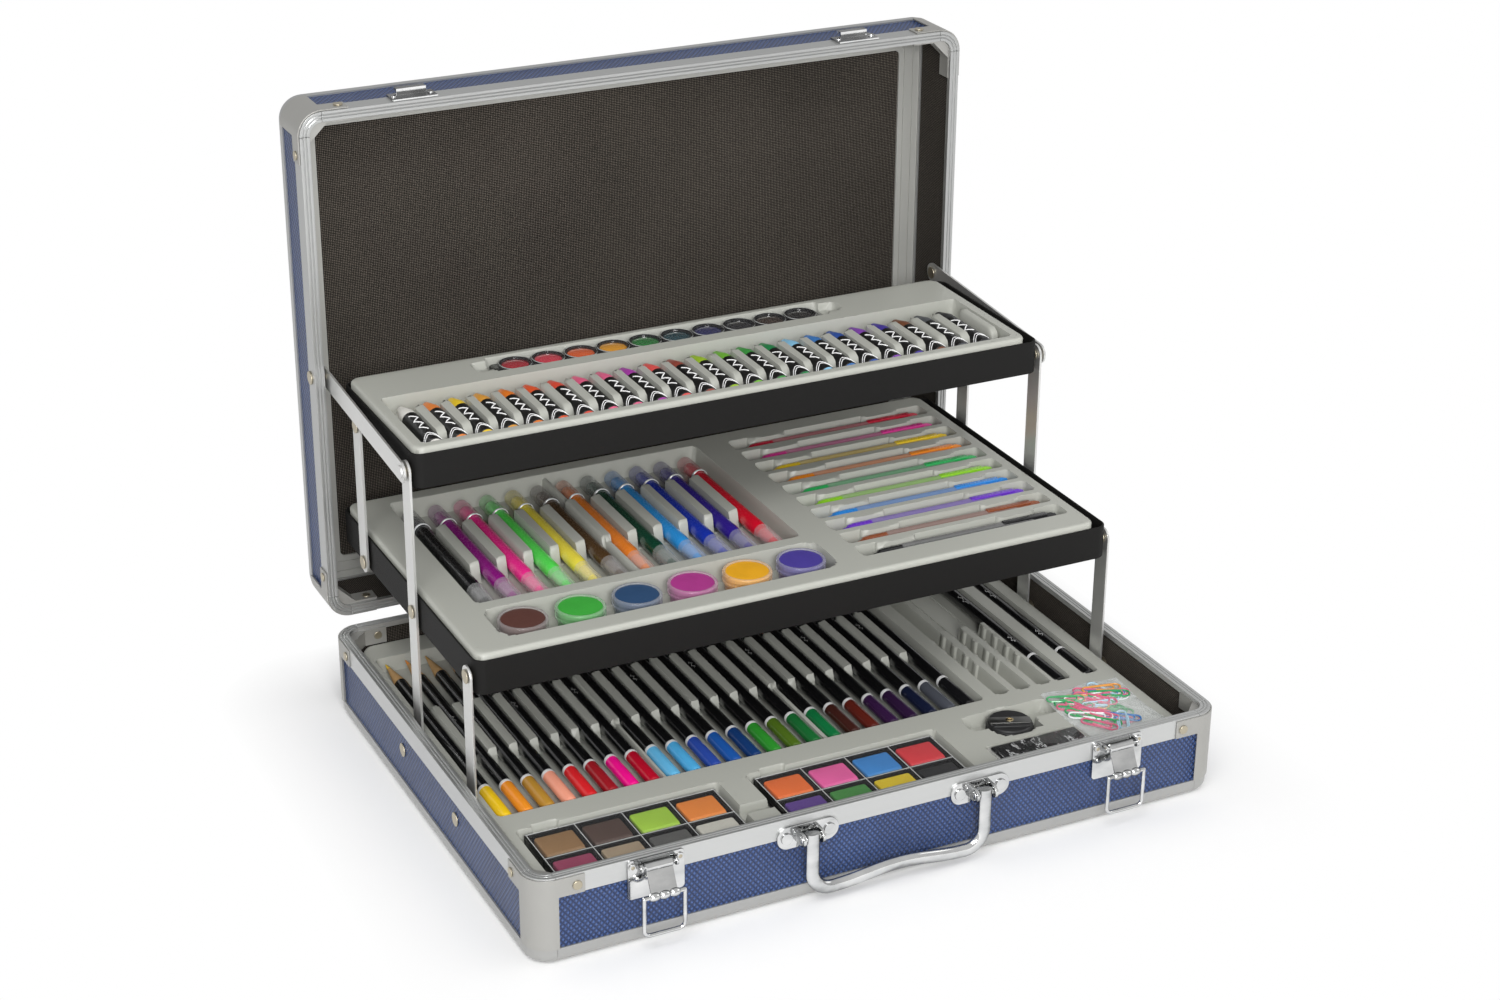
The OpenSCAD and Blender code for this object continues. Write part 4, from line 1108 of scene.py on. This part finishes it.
def felt_pens():
    """Pens with a clear cap at the front and a smoky cap at the back."""
    barrels, caps = Form(), Form()
    y0 = reach("felt_pen_caps")[0][1]
    z = middle("felt_pens")[2]
    for x, colour in zip(FELT_X, FELT_COLOURS):
        place = at(x, y0, z, "y")
        smoke, pale = see_through(colour, 0.3, 0.6), see_through(colour, 0.6, 0.4)
        barrels.lathe(FELT_BARREL, place, 0, colour)
        caps.lathe(FELT_CAP, place, 0, pale, 24, (True, False))
        caps.lathe(FELT_CAP_LINER, place, 0, pale, 16, OPEN_ENDS)
        caps.lathe(FELT_END_CAP, place, 1, smoke, 24, (False, True))
        caps.lathe(FELT_END_RING, place, 2, paint("d8dada"), 24, OPEN_ENDS)
    barrels.piece("felt_pen_barrels", "middle_tray", [PLASTIC], ("felt_pens",), "paint")
    caps.piece("felt_pen_cap_set", "middle_tray", [CLEAR, CLEAR, PLASTIC], ("felt_pen_caps",),
               "clear_plastic")


GEL_NIB = [(0.5, 0), (0.7, 0.4), (1.1, 3), (2.4, 8), (3.4, 9), (3.8, 12), (3.9, 22), (3.6, 23)]
GEL_TUBE_WALL = [(3.9, 22), (4.1, 23), (4.1, 88), (4.3, 88.2)]
GEL_REFILL = [(2.3, 22), (2.3, 100)]
GEL_COLLAR = [(4.25, 86), (4.3, 87), (4.3, 100), (4.0, 101)]
GEL_END = [(3.9, 97), (4.2, 98), (4.2, 112), (3.2, 115)]
GEL_POCKET_CLIP_X = 96


def gel_pens():
    """Pens in milky tubes, with an eight sided collar and a clip."""
    form = Form()
    x = reach("gel_pens")[0][0]
    z = middle("gel_pens")[2]
    for y, colour in zip(GEL_Y, GEL_COLOURS):
        place = at(x, y, z, "x")
        pale = see_through(colour, 0.2, 0.6)
        form.lathe(GEL_NIB, place, 0, colour, 16)
        form.lathe(GEL_TUBE_WALL, place, 1, pale, 16, OPEN_ENDS)
        form.lathe(GEL_REFILL, place, 0, colour, 10)
        form.lathe(GEL_COLLAR, place, 1, pale, 8)
        form.lathe(GEL_END, place, 0, colour, 8)
        form.slab(27, 3.6, 1.3, 0.8, 0.4, at(x + GEL_POCKET_CLIP_X, y, z + 3.2), 0, colour)
    form.piece("gel_pen_set", "middle_tray", [PLASTIC, GEL_TUBE], ("gel_pens",),
               "clear_plastic")


POT_CUP = [(11.0, 0), (11.4, 0.4), (11.7, 5.8), (12.5, 6.0), (12.8, 6.6), (12.8, 7.4),
           (12.3, 7.8), (12.3, 8.8), (12.8, 9.2), (12.8, 11), (12.3, 11.7), (11.4, 11.8),
           (11.0, 11.2)]
POT_PAINT = [(10.4, 0.8), (11.0, 1.2), (11.4, 5), (11.4, 10.4), (11.0, 11.1), (6, 11.3),
             (0.4, 11.2)]


def paint_pots():
    cups, fills = Form(), Form()
    z = reach("paint_pots")[0][2]
    y = middle("paint_pots")[1]
    for x, colour in zip(POT_X, POT_COLOURS):
        cups.lathe(POT_CUP, at(x, y, z), 0, see_through(colour, 0.38, 0.55), 40, (True, False))
        fills.lathe(POT_PAINT, at(x, y, z), 0, colour, 40)
    cups.piece("paint_pot_cups", "middle_tray", [CLOUDY], ("paint_pots",), "clear_plastic")
    fills.piece("paint_pot_fill", "middle_tray", [WAX], ("pot_paints",), "paint")


felt_pens()
gel_pens()
paint_pots()


# ---------------------------------------------------------------- top tray contents
EDGING_STARTS, EDGING_PEAK, EDGING_LINE = (3.0, 5.0), 4.5, 0.24
PEAK_AT, PEAK_SPREAD = -15, 65
ZIGZAG_START, ZIGZAG_STEPS, ZIGZAG_STEP, ZIGZAG_LINE = 14, 20, 0.95, 0.36


def facet_lines(form, x, y, z, r, lean):
    """White edging with one peak round the front of a wrapper, and a zigzag behind it."""
    def on(angle, along):
        a = math.radians(angle)
        return (x + r * math.sin(a), y + along, z + r * math.cos(a))

    for start in EDGING_STARTS:
        edging = []
        for a in range(-80, 61, 14):
            off = abs(a - PEAK_AT)
            edging.append(on(a, start + EDGING_PEAK * (1 - off / PEAK_SPREAD)
                             * (off < PEAK_SPREAD)))
        form.tube(edging, EDGING_LINE, finish=2, segs=5)
    zigzag = []
    for k in range(ZIGZAG_STEPS + 1):
        swing = abs((k % 8) / 4 - 1)
        zigzag.append(on(lean + 46 * swing - 30, ZIGZAG_START + ZIGZAG_STEP * k))
    form.tube(zigzag, ZIGZAG_LINE, finish=2, segs=5)


WRAPPER_R = 4.55
PASTEL_END = [(3.7, 0), (4.2, 0.4), (4.2, 3)]
PASTEL_WRAPPER = [(4.2, 1.0), (WRAPPER_R, 1.3), (WRAPPER_R, 37), (4.4, 37.2)]
PASTEL_STICK = [(4.4, 36), (4.4, 41.5), (2.0, 51.6), (1.2, 53)]


def oil_pastels():
    form = Form()
    y, z = reach("oil_pastels")[0][1:]
    z += PASTEL_R
    for k, (x, colour) in enumerate(zip(PASTEL_X, PASTEL_COLOURS)):
        place = at(x, y, z, "y", PI / 8)
        form.lathe(PASTEL_END, place, 1, colour, 20, (True, False))
        form.lathe(PASTEL_WRAPPER, place, 0, BLACK, 16, OPEN_ENDS)
        form.lathe(PASTEL_STICK, place, 1, colour, 20, (False, True))
        facet_lines(form, x, y, z, WRAPPER_R, 9 * math.sin(2.4 * k))
    form.piece("oil_pastel_set", "top_tray", [PAPER, WAX, PLASTIC], ("oil_pastels",), "paint")


WATER_CUP = [(8.7, 0), (9.0, 0.4), (9.0, 5.4), (8.6, 5.9), (8.0, 5.7), (7.8, 4.4)]
WATER_CUP_LIP = [(8.95, 5.3), (8.7, 5.95), (8.5, 5.6)]
WATER_CAKE = [(7.7, 2), (7.8, 3.9), (7.2, 4.7), (5.2, 5.2), (2.6, 5.4), (0.3, 5.45)]


def watercolours():
    """Round glazed cakes in a dark frame under a clear lid."""
    cups, cakes = Form(), Form()
    lo, hi = reach("watercolour_strip")
    middle_x, y = middle("watercolour_strip")[:2]
    w, d = hi[0] - lo[0], hi[1] - lo[1]
    cups.slab(w, d, 3.4, 3, 0.5, at(middle_x, y, lo[2]))
    for x, colour in zip(CAKE_X, CAKE_COLOURS):
        place = at(x, y, lo[2])
        cups.lathe(WATER_CUP, place, 0, BLACK, 36, (True, False))
        cups.lathe(WATER_CUP_LIP, place, 2, paint("a8aaa8"), 36, OPEN_ENDS)
        cakes.lathe(WATER_CAKE, place, 0, colour, 36)
    cups.slab(w - 0.6, d - 0.6, 0.35, 3, 0.15, at(middle_x, y, hi[2] - 0.4), 1)
    cups.piece("watercolour_cups", "top_tray", [GLOSS_BLACK, COVER, PLASTIC],
               ("watercolour_strip",), "black_gloss")
    cakes.piece("watercolour_pans", "top_tray", [WET], ("watercolour_cakes",), "paint")


oil_pastels()
watercolours()


# ---------------------------------------------------------------- floor, light and camera
FLOOR_HALF = 6.0
CASE_HALF = (0.19, 0.15)
SHADE_NEAR, SHADE_FAR = 0.002, 0.06


def floor():
    """A pale floor that keeps the shadow near the case and turns plain white beyond it."""
    mesh = bpy.data.meshes.new("floor")
    s = FLOOR_HALF
    mesh.from_pydata([(-s, -s, 0), (s, -s, 0), (s, s, 0), (-s, s, 0)], [], [(0, 1, 2, 3)])
    f = Finish("floor_white", Base_Color=paint("f6f6f6"), Roughness=0.9)
    x, y = f.axes()[:2]
    out_x = (x.abs() - CASE_HALF[0]).clamp(0.0, FLOOR_HALF)
    out_y = (y.abs() - CASE_HALF[1]).clamp(0.0, FLOOR_HALF)
    far = (out_x * out_x + out_y * out_y).math("SQRT")
    share = ((far - SHADE_NEAR) / (SHADE_FAR - SHADE_NEAR)).clamp()
    seen = f.node("ShaderNodeLightPath", output="Is Camera Ray")
    glow = f.node("ShaderNodeEmission", {}, {"Color": WHITE, "Strength": 1.0})
    own = Signal(f, f.shader.outputs[0])
    mixed = f.node("ShaderNodeMixShader", {}, {0: share * seen, 1: own, 2: glow})
    f.feed(f.tree.nodes["Material Output"].inputs["Surface"], mixed)
    mesh.materials.append(f.material)
    show("floor", mesh)


LAMP_AIM = Vector((0, 0, 0.1))


def lamp(name, place, power, size):
    """A round soft lamp that looks at the case."""
    data = bpy.data.lights.new(name, "AREA")
    data.energy, data.size, data.shape = power, size, "DISK"
    obj = show(name, data)
    obj.location = place
    obj.rotation_euler = (LAMP_AIM - Vector(place)).to_track_quat("-Z", "Y").to_euler()


ROOM_LIGHT = 0.55


def world():
    """Even light all round, and plain white wherever the camera looks past the floor."""
    studio = bpy.data.worlds.new("studio")
    bpy.context.scene.world = studio
    studio.use_nodes = True
    w = Nodes(studio.node_tree)
    room = w.tree.nodes["Background"]
    w.feed(room.inputs["Color"], WHITE)
    w.feed(room.inputs["Strength"], ROOM_LIGHT)
    white = w.node("ShaderNodeBackground", {}, {"Color": WHITE, "Strength": 1.0})
    seen = w.node("ShaderNodeLightPath", output="Is Camera Ray")
    mixed = w.node("ShaderNodeMixShader", {}, {0: seen, 1: Signal(w, room.outputs[0]), 2: white})
    w.feed(w.tree.nodes["World Output"].inputs["Surface"], mixed)


CAMERA_AT = Vector((-578.849, -1147.984, 736.903))
YAW, PITCH, ROLL = math.radians(26.38), math.radians(24.77), math.radians(0.36)
FOCAL_PX, PICTURE_PX, SENSOR = 2782.97, 1500, 36


def camera():
    """A camera from a place and three turns, all in the frame of the case."""
    right0 = Vector((math.cos(YAW), -math.sin(YAW), 0))
    ahead = Vector((math.sin(YAW) * math.cos(PITCH), math.cos(YAW) * math.cos(PITCH),
                    -math.sin(PITCH)))
    up0 = right0.cross(ahead)
    right = right0 * math.cos(ROLL) + up0 * math.sin(ROLL)
    up = up0 * math.cos(ROLL) - right0 * math.sin(ROLL)
    data = bpy.data.cameras.new("camera")
    data.sensor_width = SENSOR
    data.lens = FOCAL_PX / PICTURE_PX * SENSOR
    obj = show("camera", data)
    turn = Matrix((right, up, -ahead)).transposed().to_4x4()
    obj.matrix_world = Matrix.Translation(CAMERA_AT * MM) @ turn
    bpy.context.scene.camera = obj


floor()
world()
lamp("key", (-1.1, -1.4, 2.5), 24, 1.6)
lamp("front", (-0.7, -2.4, 1.15), 46, 1.0)
lamp("fill", (2.2, -0.9, 1.6), 8, 1.8)
camera()
bpy.context.scene.view_settings.view_transform = "Standard"
